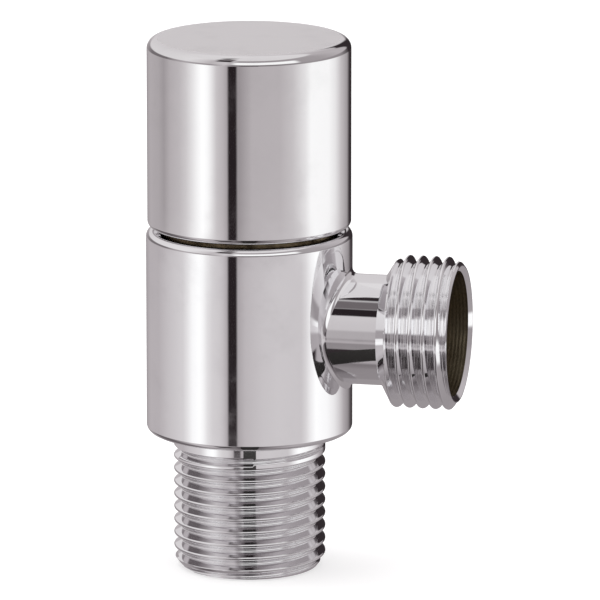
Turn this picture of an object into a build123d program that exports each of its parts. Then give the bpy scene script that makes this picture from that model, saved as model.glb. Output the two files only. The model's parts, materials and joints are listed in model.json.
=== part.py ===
"""Quarter-turn angle stop valve, an assembly of separate pieces in millimetres.

+Z runs up the barrel from the inlet end, which lies on Z = 0, towards the handle, and +X runs out
along the outlet. The valve is shut. A quarter turn of the handle, anticlockwise from above, opens it.
"""

from build123d import *
from math import cos, degrees, radians, sin
import os

# Standard pipe thread G 1/2, cut as one ring groove for each turn
thread_crest_radius = 20.955 / 2
thread_depth = 1.162
thread_pitch = 1.814
thread_crest_flat = 0.302
thread_play = 0.16

# Small fits
snug = 0.02
slip = 0.05
loose = 0.10
edge_chamfer = 0.40
small_chamfer = 0.30

# Inlet shank and seat
shank_length = 19.2
collar_length = 3.0
inlet_end_step = 0.1
inlet_chamfer_length = 1.4
inlet_wall = 1.3
inlet_mouth_depth = 6.0
strainer_shoulder = 1.0
seat_rise = 5.8
seat_web = 4.6
port_radius = 5.5

# Disc stack, from the seat upwards
seal_height = 2.5
seal_bore_step = 0.2
support_ring_wall = 0.7
support_ring_height = 1.2
disc_thickness = 3.0
disc_gap = 0.05
disc_play = 0.2
disc_port_angle = 84.0
disc_hub_radius = 2.6
disc_rim = 1.3
disc_ear_width = 2.4
disc_ear_reach = 0.8
tongue_length = 10.0
tongue_width = 2.4
tongue_depth = 1.95

# Cartridge housing, screwed into the barrel
snout_thread_gap = 0.3
snout_wall = 1.0
snout_gap = 0.5
chamber_gap = 1.8
window_height = 4.4
window_angle = 80.0
window_margin = 0.25
socket_depth = 8.8
socket_turns = 3
socket_runout = 1.6
gasket_section = 0.9
gasket_pocket_depth = 1.95
gasket_pocket_step = 0.62
flange_overlap = 0.7
flange_thickness = 2.0
spanner_width = 17.0
spanner_height = 5.0
housing_neck_wall = 1.95
stop_rib_angle = 60.0
stop_rib_reach = 1.4

# Spindle
spindle_radius = 4.0
bearing_clearance = 0.05
waist_radius = 3.2
drive_plate_thickness = 2.4
drive_plate_play = 0.2
turn_angle = 90.0
stop_clearance_angle = 0.5
o_ring_section = 0.6
o_ring_groove_width = 1.5
lower_o_ring_rise = 4.2
o_ring_spacing = 4.0
thrust_washer_thickness = 0.8
thrust_washer_wall = 2.9
glide_washer_thickness = 0.5
glide_washer_wall = 1.7
clip_thickness = 0.7
clip_wall = 1.9
clip_groove_depth = 0.8
clip_opening_angle = 70.0
spline_teeth = 20
spline_depth = 0.45
spline_length = 5.5
spline_tip_share = 0.32
spline_root_share = 0.76

# Adapter between the spindle and the handle, and its screw
adapter_width = 10.0
adapter_web = 1.2
adapter_lift = 0.6
adapter_screw_radius = 2.0
adapter_screw_length = 8.0
screw_head_radius = 3.3
screw_head_height = 2.0
screw_drive_width = 2.5
screw_drive_depth = 1.2

# Handle, its set screw and the plug that hides the screw
handle_play = 0.6
handle_wall = 1.6
handle_length = 26.1
handle_gap = 0.5
handle_crown = 2.7
handle_top_fillet = 1.4
handle_bottom_fillet = 0.8
hub_wall = 4.0
set_screw_radius = 2.0
set_screw_length = 4.0
set_screw_drive_width = 2.0
set_screw_drive_depth = 1.8
plug_radius = 2.5
plug_length = 1.9

# Barrel
barrel_step = 0.2
barrel_top_fillet = 1.0
barrel_bottom_fillet = 0.8

# Outlet
outlet_drop = 2.0
outlet_reach = 29.5
outlet_thread_length = 8.5
neck_cone_length = 1.7
neck_radius = 7.6
neck_fillet_limit = 0.9
outlet_chamfer_length = 0.9
outlet_lip_step = 0.12
outlet_lip_width = 0.15
outlet_lip_depth = 0.5
outlet_wall = 0.72
outlet_mouth_depth = 5.0
outlet_bore_radius = 4.6

# Inlet strainer
strainer_flange_thickness = 1.5
strainer_flange_wall = 2.0
strainer_height = 8.5
strainer_ribs = 4
strainer_rib_width = 1.8
strainer_rib_thickness = 0.7
mesh_thickness = 0.3
mesh_hole_radius = 0.8
mesh_rows = 4
mesh_columns = 12
mesh_top_rings = [(6, 0.38), (12, 0.74)]

# Radii that follow from the sizes above
thread_root_radius = thread_crest_radius - thread_depth
inlet_mouth_radius = thread_root_radius - inlet_wall
inlet_bore_radius = inlet_mouth_radius - strainer_shoulder
snout_radius = thread_root_radius - snout_thread_gap
snout_bore_radius = snout_radius - snout_wall
chamber_radius = snout_radius + chamber_gap
gasket_pocket_radius = thread_crest_radius + gasket_pocket_step
flange_radius = gasket_pocket_radius + flange_overlap
handle_inner_radius = flange_radius + handle_play
handle_radius = handle_inner_radius + handle_wall
barrel_radius = handle_radius + barrel_step
outlet_mouth_radius = thread_root_radius - outlet_wall
outlet_lip_radius = thread_root_radius + outlet_lip_step
disc_radius = snout_bore_radius - disc_play
housing_neck_radius = spindle_radius + bearing_clearance + housing_neck_wall
drive_rib_radius = snout_bore_radius - stop_rib_reach
seal_bore_radius = port_radius + seal_bore_step
adapter_flat = adapter_width / 2
hub_radius = adapter_flat + hub_wall

# Heights that follow, from the inlet end upwards
collar_bottom = shank_length - collar_length
seat_height = shank_length + seat_rise
snout_bottom = seat_height + snout_gap
seal_top = seat_height + seal_height
fixed_disc_top = seal_top + disc_thickness
moving_disc_bottom = fixed_disc_top + disc_gap
moving_disc_top = moving_disc_bottom + disc_thickness
window_bottom = moving_disc_top + window_margin
window_top = window_bottom + window_height
chamber_top = window_top + 2 * drive_plate_play
drive_plate_bottom = window_top + drive_plate_play
drive_plate_top = drive_plate_bottom + drive_plate_thickness
thrust_washer_bottom = drive_plate_top + disc_gap
snout_ceiling = thrust_washer_bottom + thrust_washer_thickness
barrel_top = chamber_top + socket_depth
gasket_pocket_bottom = barrel_top - gasket_pocket_depth
flange_top = barrel_top + flange_thickness
spanner_top = flange_top + spanner_height
outlet_height = (window_bottom + window_top) / 2 - outlet_drop

# Heights that follow, from the top of the handle downwards
handle_bottom = barrel_top + handle_gap
handle_top = handle_bottom + handle_length
handle_ceiling = handle_top - handle_crown
adapter_top = handle_ceiling - loose
screw_seat = adapter_top - screw_head_height - loose
spindle_top = screw_seat - adapter_web
adapter_bottom = spindle_top - spline_length
clip_top = adapter_bottom - adapter_lift
clip_bottom = clip_top - clip_thickness
glide_washer_bottom = clip_bottom - glide_washer_thickness - disc_gap
set_screw_height = (adapter_bottom + spindle_top) / 2

# Places along the outlet
neck_cone_start = outlet_reach - outlet_thread_length - neck_cone_length
outlet_thread_start = outlet_reach - outlet_thread_length
neck_fillet = min(neck_fillet_limit, (neck_cone_start - barrel_radius) / 2)
outlet_plane = Plane(origin=(0, 0, outlet_height), x_dir=(0, 0, 1), z_dir=(0, 1, 0))
outlet_axis = Axis((0, 0, outlet_height), (1, 0, 0))

os.makedirs("parts", exist_ok=True)


def finish_piece(piece, name):
    """Label a finished piece with its name and write it to its own STEP file."""
    piece.part.label = name
    export_step(piece.part, f"parts/{name}.step")


def turn(points, plane=Plane.XZ, axis=Axis.Z, mode=Mode.ADD):
    """Turn a closed outline, given as (radius, place along the axis) points, about the axis."""
    with BuildSketch(plane) as outline:
        with BuildLine():
            Polyline(*points, close=True)
        make_face()
    revolve(outline.sketch, axis=axis, mode=mode)


def ring(inner, outer, bottom, height, mode=Mode.ADD):
    """Add or cut a plain ring about Z, or a disc when the inner radius is 0."""
    with BuildSketch(Plane.XY.offset(bottom)) as outline:
        Circle(outer)
        if inner > 0:
            Circle(inner, mode=Mode.SUBTRACT)
    extrude(outline.sketch, amount=height, mode=mode)


def thread_rings(base_radius, depth, first, turns, plane=Plane.XZ, axis=Axis.Z, mode=Mode.SUBTRACT):
    """Turn one V ring for each turn of thread, wide at the base radius and narrow a depth away."""
    wide = (thread_pitch - thread_crest_flat) / 2
    narrow = thread_crest_flat / 2
    behind = base_radius - (thread_play if depth > 0 else -thread_play)
    for turn_number in range(turns):
        middle = first + turn_number * thread_pitch
        outline = [
            (behind, middle - wide),
            (base_radius, middle - wide),
            (base_radius + depth, middle - narrow),
            (base_radius + depth, middle + narrow),
            (base_radius, middle + wide),
            (behind, middle + wide),
        ]
        turn(outline, plane, axis, mode)


def sector(inner, outer, middle_angle, width_angle, mode=Mode.ADD):
    """Draw or cut a sector of a ring, centred on an angle in degrees."""
    start = middle_angle - width_angle / 2
    directions = [(cos(radians(a)), sin(radians(a))) for a in (start, start + width_angle)]
    with BuildLine() as outline:
        CenterArc((0, 0), inner, start, width_angle)
        CenterArc((0, 0), outer, start, width_angle)
        for across, up in directions:
            Line((inner * across, inner * up), (outer * across, outer * up))
    make_face(outline.edges(), mode=mode)


def hexagon(width):
    """Draw a hexagon of the given width across its flats, two of which face +Y and -Y."""
    RegularPolygon(width / 2, 6, major_radius=False)


def spline_section(tip_radius):
    """Draw the toothed section of the spindle's splined end."""
    root_radius = tip_radius - spline_depth
    tooth_angle = radians(360 / spline_teeth)
    half_tip = tip_radius * tooth_angle * spline_tip_share / 2
    half_root = root_radius * tooth_angle * spline_root_share / 2
    buried = root_radius - spline_depth
    Circle(root_radius)
    with PolarLocations(0, spline_teeth):
        Polygon(
            (buried, -half_root),
            (tip_radius, -half_tip),
            (tip_radius, half_tip),
            (buried, half_root),
            align=None,
        )


# Valve body: shank, barrel and outlet are one forging, bored and threaded
first_half_groove = (thread_pitch - thread_crest_flat) / 2
inlet_turns = int((collar_bottom - inlet_chamfer_length) // thread_pitch)
first_inlet_groove = collar_bottom - first_half_groove - (inlet_turns - 1) * thread_pitch
first_outlet_groove = outlet_thread_start + thread_crest_flat + first_half_groove
outlet_thread_end = outlet_reach - outlet_chamfer_length
outlet_turns = int((outlet_thread_end - outlet_thread_start - thread_crest_flat) // thread_pitch)
first_socket_groove = gasket_pocket_bottom - socket_runout - (socket_turns - 1) * thread_pitch
with BuildPart() as valve_body:
    turn(
        [
            (0, 0),
            (thread_root_radius + inlet_end_step, 0),
            (thread_crest_radius, inlet_chamfer_length),
            (thread_crest_radius, shank_length),
            (barrel_radius, shank_length),
            (barrel_radius, barrel_top),
            (0, barrel_top),
        ]
    )
    rims = valve_body.edges().filter_by(lambda edge: edge.geom_type == GeomType.CIRCLE)
    rims = rims.filter_by(lambda edge: abs(edge.radius - barrel_radius) < snug).sort_by(Axis.Z)
    fillet(rims[-1], barrel_top_fillet)
    fillet(rims[0], barrel_bottom_fillet)
    turn(
        [
            (0, 0),
            (neck_radius, 0),
            (neck_radius, neck_cone_start),
            (thread_crest_radius, outlet_thread_start),
            (thread_crest_radius, outlet_thread_end),
            (outlet_lip_radius, outlet_reach),
            (0, outlet_reach),
        ],
        outlet_plane,
        outlet_axis,
    )
    neck_joint = valve_body.edges().filter_by(GeomType.BSPLINE)
    fillet(neck_joint, neck_fillet)
    thread_rings(thread_crest_radius, -thread_depth, first_inlet_groove, inlet_turns)
    thread_rings(
        thread_crest_radius, -thread_depth, first_outlet_groove, outlet_turns, outlet_plane, outlet_axis
    )
    turn(
        [
            (0, 0),
            (inlet_mouth_radius, 0),
            (inlet_mouth_radius, inlet_mouth_depth),
            (inlet_bore_radius, inlet_mouth_depth),
            (inlet_bore_radius, seat_height - seat_web),
            (port_radius, seat_height - seat_web + inlet_bore_radius - port_radius),
            (port_radius, seat_height),
            (chamber_radius, seat_height),
            (chamber_radius, chamber_top),
            (thread_root_radius, chamber_top),
            (thread_root_radius, gasket_pocket_bottom),
            (gasket_pocket_radius, gasket_pocket_bottom),
            (gasket_pocket_radius, barrel_top),
            (0, barrel_top),
        ],
        mode=Mode.SUBTRACT,
    )
    thread_rings(thread_root_radius, thread_depth, first_socket_groove, socket_turns)
    turn(
        [
            (0, snout_radius),
            (outlet_bore_radius, snout_radius),
            (outlet_bore_radius, outlet_reach - outlet_mouth_depth),
            (outlet_mouth_radius, outlet_reach - outlet_mouth_depth),
            (outlet_mouth_radius, outlet_reach - outlet_lip_depth),
            (outlet_lip_radius - outlet_lip_width, outlet_reach),
            (0, outlet_reach),
        ],
        outlet_plane,
        outlet_axis,
        mode=Mode.SUBTRACT,
    )
finish_piece(valve_body, "valve_body")

# Cartridge housing: snout with its windows, thread, flange, spanner hexagon and neck
spindle_bore_radius = spindle_radius + bearing_clearance
with BuildPart() as cartridge_housing:
    ring(0, snout_radius, snout_bottom, chamber_top - snout_bottom)
    ring(0, thread_root_radius - thread_play, chamber_top, barrel_top - chamber_top)
    thread_rings(
        thread_root_radius - thread_play, thread_depth, first_socket_groove, socket_turns, mode=Mode.ADD
    )
    ring(0, flange_radius, barrel_top, flange_thickness)
    with BuildSketch(Plane.XY.offset(flange_top)):
        hexagon(spanner_width)
    extrude(amount=spanner_height)
    chamfer(cartridge_housing.faces().sort_by(Axis.Z)[-1].edges(), edge_chamfer)
    ring(0, housing_neck_radius, spanner_top, glide_washer_bottom - spanner_top)
    chamfer(cartridge_housing.faces().sort_by(Axis.Z)[-1].edges(), small_chamfer)
    ring(0, snout_bore_radius, snout_bottom, snout_ceiling - snout_bottom, mode=Mode.SUBTRACT)
    ring(0, spindle_bore_radius, snout_ceiling, glide_washer_bottom - snout_ceiling, mode=Mode.SUBTRACT)
    with BuildSketch(Plane.XY.offset(window_bottom)):
        for side in (0, 180):
            sector(snout_bore_radius - snout_wall, snout_radius + snout_wall, side, window_angle)
    extrude(amount=window_height, mode=Mode.SUBTRACT)
    ear_slot_length = 2 * (snout_radius + snout_wall)
    with BuildSketch(Plane.XY.offset(snout_bottom)):
        Rectangle(ear_slot_length, disc_ear_width + 2 * loose)
        Circle(snout_bore_radius - snout_wall, mode=Mode.SUBTRACT)
    extrude(amount=fixed_disc_top - snout_bottom, mode=Mode.SUBTRACT)
    with BuildSketch(Plane.XY.offset(drive_plate_bottom)):
        sector(drive_rib_radius, snout_bore_radius + snout_wall / 2, 90, stop_rib_angle)
    extrude(amount=snout_ceiling - drive_plate_bottom)
finish_piece(cartridge_housing, "cartridge_housing")

# Gasket between the housing's flange and the barrel
gasket_centre_radius = thread_root_radius - thread_play + gasket_section + slip
with BuildPart() as housing_o_ring:
    with BuildSketch(Plane.XZ):
        with Locations((gasket_centre_radius, gasket_pocket_bottom + gasket_section + snug)):
            Circle(gasket_section)
    revolve(axis=Axis.Z)
finish_piece(housing_o_ring, "housing_o_ring")

# Seat seal, with the stiff ring that keeps its lip open
support_ring_bottom = seat_height + (seal_height - support_ring_height) / 2
support_ring_outer = seal_bore_radius + support_ring_wall
with BuildPart() as seat_seal:
    ring(seal_bore_radius, snout_bore_radius - slip, seat_height, seal_height)
    ring(0, support_ring_outer + snug, support_ring_bottom, support_ring_height, mode=Mode.SUBTRACT)
finish_piece(seat_seal, "seat_seal")

with BuildPart() as seal_support_ring:
    ring(seal_bore_radius, support_ring_outer, support_ring_bottom + snug, support_ring_height - 2 * snug)
finish_piece(seal_support_ring, "seal_support_ring")

# Ceramic discs: the fixed one is keyed in the housing, the moving one turns with the spindle
disc_port_outer = disc_radius - disc_rim
with BuildPart() as fixed_disc:
    with BuildSketch(Plane.XY.offset(seal_top)):
        Circle(disc_radius)
        Rectangle(2 * (disc_radius + disc_ear_reach), disc_ear_width)
        for side in (90, 270):
            sector(disc_hub_radius, disc_port_outer, side, disc_port_angle, mode=Mode.SUBTRACT)
    extrude(amount=disc_thickness)
finish_piece(fixed_disc, "fixed_disc")

with BuildPart() as moving_disc:
    with BuildSketch(Plane.XY.offset(moving_disc_bottom)):
        Circle(disc_radius)
        for side in (0, 180):
            sector(disc_hub_radius, disc_port_outer, side, disc_port_angle, mode=Mode.SUBTRACT)
    extrude(amount=disc_thickness)
    with BuildSketch(Plane.XY.offset(moving_disc_top)):
        Rectangle(tongue_width + 2 * loose, tongue_length + 2 * loose)
    extrude(amount=-tongue_depth - loose, mode=Mode.SUBTRACT)
finish_piece(moving_disc, "moving_disc")

# Spindle: tongue, waist, drive plate with its stop notch, ring grooves and splined end
lower_o_ring_height = snout_ceiling + lower_o_ring_rise
o_ring_heights = [lower_o_ring_height, lower_o_ring_height + o_ring_spacing]
o_ring_groove_radius = spindle_radius - 2 * o_ring_section
clip_groove_radius = spindle_radius - clip_groove_depth
notch_angle = stop_rib_angle + turn_angle + 2 * stop_clearance_angle
notch_middle = 90 + stop_rib_angle / 2 + stop_clearance_angle - notch_angle / 2
with BuildPart() as spindle:
    tongue_bottom = moving_disc_top - tongue_depth
    with BuildSketch(Plane.XY.offset(tongue_bottom)):
        Rectangle(tongue_width, tongue_length)
    extrude(amount=tongue_depth + window_margin)
    ring(0, waist_radius, moving_disc_top, drive_plate_bottom - moving_disc_top)
    ring(0, drive_rib_radius - drive_plate_play, drive_plate_bottom, drive_plate_thickness)
    with BuildSketch(Plane.XY.offset(drive_plate_bottom)):
        sector(
            spindle_radius, snout_bore_radius - drive_plate_play, notch_middle + 180, 360 - notch_angle
        )
    extrude(amount=drive_plate_thickness)
    ring(0, spindle_radius, drive_plate_top, adapter_bottom - drive_plate_top)
    with BuildSketch(Plane.XY.offset(adapter_bottom)):
        spline_section(spindle_radius)
    extrude(amount=spline_length)
    for height in o_ring_heights:
        groove_bottom = height - o_ring_groove_width / 2
        ring(o_ring_groove_radius, spindle_radius, groove_bottom, o_ring_groove_width, mode=Mode.SUBTRACT)
    ring(clip_groove_radius, spindle_radius, clip_bottom - slip, clip_thickness + 2 * slip, Mode.SUBTRACT)
    screw_hole_depth = adapter_screw_length + loose
    ring(0, adapter_screw_radius + snug, screw_seat - screw_hole_depth, screw_hole_depth, Mode.SUBTRACT)
finish_piece(spindle, "spindle")

for o_ring_name, height in zip(["spindle_o_ring_lower", "spindle_o_ring_upper"], o_ring_heights):
    with BuildPart() as spindle_o_ring:
        with BuildSketch(Plane.XZ):
            with Locations((o_ring_groove_radius + o_ring_section, height)):
                Circle(o_ring_section)
        revolve(axis=Axis.Z)
    finish_piece(spindle_o_ring, o_ring_name)

with BuildPart() as thrust_washer:
    washer_inner = spindle_bore_radius + slip
    washer_outer = drive_rib_radius - slip
    ring(washer_inner, washer_outer, thrust_washer_bottom, thrust_washer_thickness)
finish_piece(thrust_washer, "thrust_washer")

with BuildPart() as glide_washer:
    washer_inner = spindle_bore_radius + slip
    ring(washer_inner, washer_inner + glide_washer_wall, glide_washer_bottom, glide_washer_thickness)
finish_piece(glide_washer, "glide_washer")

with BuildPart() as retaining_clip:
    clip_inner = clip_groove_radius + snug
    ring(clip_inner, clip_inner + clip_wall, clip_bottom, clip_thickness)
    with BuildSketch(Plane.XY.offset(clip_bottom)):
        sector(clip_inner / 2, clip_inner + 2 * clip_wall, -90, clip_opening_angle)
    extrude(amount=clip_thickness, mode=Mode.SUBTRACT)
finish_piece(retaining_clip, "retaining_clip")

# Adapter: splined inside to the spindle, hexagonal outside to the handle's hub
with BuildPart() as spline_adapter:
    with BuildSketch(Plane.XY.offset(adapter_bottom)):
        hexagon(adapter_width)
    extrude(amount=adapter_top - adapter_bottom)
    with BuildSketch(Plane.XY.offset(adapter_bottom)):
        spline_section(spindle_radius + slip)
    extrude(amount=spline_length, mode=Mode.SUBTRACT)
    ring(0, adapter_screw_radius + loose, spindle_top, adapter_web, mode=Mode.SUBTRACT)
    ring(0, screw_head_radius + loose, screw_seat, adapter_top - screw_seat, mode=Mode.SUBTRACT)
finish_piece(spline_adapter, "spline_adapter")

with BuildPart() as adapter_screw:
    ring(0, screw_head_radius, screw_seat, screw_head_height)
    ring(0, adapter_screw_radius, screw_seat - adapter_screw_length, adapter_screw_length)
    chamfer(adapter_screw.faces().sort_by(Axis.Z)[-1].edges(), small_chamfer)
    chamfer(adapter_screw.faces().sort_by(Axis.Z)[0].edges(), edge_chamfer)
    with BuildSketch(Plane.XY.offset(screw_seat + screw_head_height)):
        hexagon(screw_drive_width)
    extrude(amount=-screw_drive_depth, mode=Mode.SUBTRACT)
finish_piece(adapter_screw, "adapter_screw")

# Handle: a cast cup with a hub inside and a screw hole through its back
back_plane = Plane(origin=(0, 0, set_screw_height), x_dir=(-1, 0, 0), z_dir=(0, 1, 0))
with BuildPart() as handle_shell:
    ring(0, handle_radius, handle_bottom, handle_length)
    fillet(handle_shell.faces().sort_by(Axis.Z)[-1].edges(), handle_top_fillet)
    fillet(handle_shell.faces().sort_by(Axis.Z)[0].edges(), handle_bottom_fillet)
    ring(hub_radius, handle_inner_radius, handle_bottom, handle_ceiling - handle_bottom, Mode.SUBTRACT)
    ring(0, hub_radius, handle_bottom, adapter_bottom + loose - handle_bottom, mode=Mode.SUBTRACT)
    with BuildSketch(Plane.XY.offset(adapter_bottom)):
        hexagon(adapter_width + 2 * slip)
    extrude(amount=handle_ceiling - adapter_bottom, mode=Mode.SUBTRACT)
    with BuildSketch(back_plane):
        Circle(set_screw_radius + snug)
    extrude(amount=hub_radius + loose, mode=Mode.SUBTRACT)
    with BuildSketch(back_plane.offset(hub_radius + loose)):
        Circle(plug_radius + snug)
    extrude(amount=handle_radius, mode=Mode.SUBTRACT)
finish_piece(handle_shell, "handle_shell")

set_screw_tip = adapter_flat + slip
with BuildPart() as handle_set_screw:
    with BuildSketch(back_plane.offset(set_screw_tip)):
        Circle(set_screw_radius)
    extrude(amount=set_screw_length)
    chamfer(handle_set_screw.edges().filter_by(GeomType.CIRCLE), edge_chamfer)
    with BuildSketch(back_plane.offset(set_screw_tip + set_screw_length)):
        hexagon(set_screw_drive_width)
    extrude(amount=-set_screw_drive_depth, mode=Mode.SUBTRACT)
finish_piece(handle_set_screw, "handle_set_screw")

with BuildPart() as set_screw_plug:
    with BuildSketch(back_plane.offset(handle_radius - plug_length)):
        Circle(plug_radius)
    extrude(amount=plug_length)
    ring(0, handle_radius - snug, handle_bottom, handle_length, mode=Mode.INTERSECT)
finish_piece(set_screw_plug, "set_screw_plug")

# Inlet strainer: a frame that rests on the shoulder in the inlet, and a cup of mesh inside it
strainer_shoulder_height = inlet_mouth_depth
strainer_outer = inlet_mouth_radius - slip
mesh_outer = strainer_outer - strainer_flange_wall
strainer_bottom = strainer_shoulder_height - strainer_flange_thickness
strainer_top = strainer_shoulder_height + strainer_height
rib_outer = mesh_outer + snug + strainer_rib_thickness
with BuildPart() as strainer_frame:
    ring(mesh_outer + snug, strainer_outer, strainer_bottom, strainer_flange_thickness)
    ring(mesh_outer + snug, rib_outer, strainer_top - strainer_rib_thickness, strainer_rib_thickness)
    rib_angle = 360 / strainer_ribs
    rib_width_angle = degrees(strainer_rib_width / rib_outer)
    with BuildSketch(Plane.XY.offset(strainer_bottom + strainer_flange_thickness / 2)):
        for rib_number in range(strainer_ribs):
            sector(mesh_outer + snug, rib_outer, (rib_number + 0.5) * rib_angle, rib_width_angle)
    extrude(amount=strainer_top - strainer_bottom - strainer_flange_thickness / 2)
finish_piece(strainer_frame, "strainer_frame")

mesh_wall_height = strainer_height - mesh_thickness
row_spacing = mesh_wall_height / mesh_rows
with BuildPart() as strainer_mesh:
    ring(0, mesh_outer, strainer_bottom, strainer_top - strainer_bottom)
    mesh_inner = mesh_outer - mesh_thickness
    ring(0, mesh_inner, strainer_bottom, strainer_top - strainer_bottom - mesh_thickness, Mode.SUBTRACT)
    with BuildSketch(Plane.XY.offset(strainer_top)):
        Circle(mesh_hole_radius)
        for holes, radius_share in mesh_top_rings:
            with PolarLocations(mesh_outer * radius_share, holes):
                Circle(mesh_hole_radius)
    extrude(amount=-2 * mesh_thickness, mode=Mode.SUBTRACT)
    for column in range(mesh_columns // 2):
        angle = radians(column * 360 / mesh_columns)
        side_plane = Plane(origin=(0, 0, 0), x_dir=(0, 0, 1), z_dir=(cos(angle), sin(angle), 0))
        with BuildSketch(side_plane):
            for row in range(mesh_rows):
                with Locations((strainer_shoulder_height + (row + 0.5) * row_spacing, 0)):
                    Circle(mesh_hole_radius)
        extrude(amount=mesh_outer + mesh_thickness, both=True, mode=Mode.SUBTRACT)
finish_piece(strainer_mesh, "strainer_mesh")

print(f"height {handle_top:.2f}, barrel radius {barrel_radius:.3f}, handle radius {handle_radius:.3f}")
print(f"barrel top {barrel_top:.2f}, seat {seat_height:.2f}, outlet height {outlet_height:.2f}")
print(f"housing neck top {glide_washer_bottom:.2f}, spanner top {spanner_top:.2f}")
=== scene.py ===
"""Looks of a quarter-turn angle stop valve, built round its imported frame.

The chrome body and handle are turned surfaces worked out with numpy, with true right-hand pipe
threads. The inlet's strainer is woven wire. The pieces inside keep their frame shapes and get their
own finishes. Lengths are in millimetres until a mesh is made.
"""

import json
import logging
import math
from collections.abc import Callable, Sequence
from dataclasses import dataclass, field
from enum import Enum

import bpy
import numpy as np
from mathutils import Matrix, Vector

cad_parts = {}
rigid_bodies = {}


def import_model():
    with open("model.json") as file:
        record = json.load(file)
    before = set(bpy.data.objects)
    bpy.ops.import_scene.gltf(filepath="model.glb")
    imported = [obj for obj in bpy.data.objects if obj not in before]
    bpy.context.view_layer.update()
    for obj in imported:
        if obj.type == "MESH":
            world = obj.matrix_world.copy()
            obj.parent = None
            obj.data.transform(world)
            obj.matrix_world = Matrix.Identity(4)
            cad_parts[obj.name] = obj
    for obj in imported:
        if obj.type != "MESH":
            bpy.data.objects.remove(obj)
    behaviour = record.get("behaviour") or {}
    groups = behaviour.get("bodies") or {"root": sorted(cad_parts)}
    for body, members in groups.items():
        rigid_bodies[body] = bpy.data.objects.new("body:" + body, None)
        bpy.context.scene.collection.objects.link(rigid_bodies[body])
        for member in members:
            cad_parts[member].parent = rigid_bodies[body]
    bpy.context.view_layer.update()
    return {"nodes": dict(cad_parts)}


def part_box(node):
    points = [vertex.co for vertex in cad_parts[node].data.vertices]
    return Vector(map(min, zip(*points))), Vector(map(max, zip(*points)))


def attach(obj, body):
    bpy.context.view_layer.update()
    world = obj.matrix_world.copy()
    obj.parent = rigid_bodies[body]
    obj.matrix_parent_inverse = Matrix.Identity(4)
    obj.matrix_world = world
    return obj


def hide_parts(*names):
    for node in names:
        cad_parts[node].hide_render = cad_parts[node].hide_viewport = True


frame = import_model()

MM = 0.001
WELD = 2e-4
WELD_OFFSET = 0.3183
COLUMNS = 240
Array = np.ndarray
log = logging.getLogger("valve")


# ---------------------------------------------------------------- surfaces


class Turning(Enum):
    """The two axes that the valve's surfaces are turned about."""

    BARREL = "barrel"
    OUTLET = "outlet"


@dataclass(frozen=True)
class Patch:
    """A grid of points with its normals and the number of its finish.

    Rows follow a turned profile with the air on its right, and columns go anticlockwise about the
    axis, so that faces made from the grid point outwards.
    """

    points: Array
    normals: Array
    finish: int = 0

    def reversed(self) -> "Patch":
        """The same surface with the air on its other side."""
        return Patch(self.points[::-1], -self.normals[::-1], self.finish)


def straight(start: tuple[float, float], end: tuple[float, float], steps: int = 1) -> Array:
    """Stations of a straight stretch of a profile.

    Args:
        start: radius and height where it starts.
        end: radius and height where it ends.
        steps: how many rows of faces it takes.

    Returns:
        Rows of (radius, height, radial normal, axial normal). The normal is the direction of travel
        turned a quarter turn to the right.
    """
    travel = np.subtract(end, start)
    travel = travel / np.hypot(*travel)
    share = np.linspace(0.0, 1.0, steps + 1)[:, None]
    places = np.array(start) * (1.0 - share) + np.array(end) * share
    normal = np.tile([travel[1], -travel[0]], (steps + 1, 1))
    return np.hstack([places, normal])


def rounded(centre: tuple[float, float], radius: float, start: float, end: float, steps: int = 8) -> Array:
    """Stations of a round stretch of a profile: centre + radius * (cos t, sin t), t in degrees.

    Args:
        centre: radius and height of the arc's centre.
        radius: the arc's radius. A hollow corner has a negative one.
        start: angle at the start.
        end: angle at the end.
        steps: how many rows of faces it takes.

    Returns:
        Rows of (radius, height, radial normal, axial normal).
    """
    angle = np.radians(np.linspace(start, end, steps + 1))
    spoke = np.stack([np.cos(angle), np.sin(angle)], axis=1)
    return np.hstack([np.array(centre) + abs(radius) * spoke, math.copysign(1.0, radius) * spoke])


def set_up(points: Array, turning: Turning, height: float = 0.0) -> Array:
    """Stand points or directions made about a vertical axis on the axis that they belong to.

    Args:
        points: an array whose last axis is x, y, z.
        turning: the axis.
        height: the outlet axis's height, or 0 for directions.

    Returns:
        The same points. For the outlet, (x, y, z) becomes (z, x, y + height).
    """
    if turning is Turning.BARREL:
        return points
    return np.stack([points[..., 2], points[..., 0], points[..., 1] + height], axis=-1)


def turned(stations: Array, angles: Array, finish: int = 0,
           turning: Turning = Turning.BARREL, height: float = 0.0) -> Patch:
    """Turn a profile about an axis: (r cos a, r sin a, h) for each station and angle.

    Args:
        stations: rows of (radius, height, radial normal, axial normal).
        angles: the columns' angles in radians.
        finish: the number of the finish.
        turning: the axis.
        height: the outlet axis's height.

    Returns:
        The turned patch.
    """
    radius, level, out, along = (stations[:, k, None] for k in range(4))
    cosine, sine = np.cos(angles)[None, :], np.sin(angles)[None, :]
    ones = np.ones_like(cosine)
    points = np.stack([radius * cosine, radius * sine, level * ones], axis=-1)
    normals = np.stack([out * cosine, out * sine, along * ones], axis=-1)
    return Patch(set_up(points, turning, height), set_up(normals, turning), finish)


def column_angles(first: int = 0, last: int = COLUMNS) -> Array:
    """Angles of the evenly spaced columns from first to last, in radians."""
    return np.arange(first, last + 1) * (2.0 * math.pi / COLUMNS)


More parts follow.
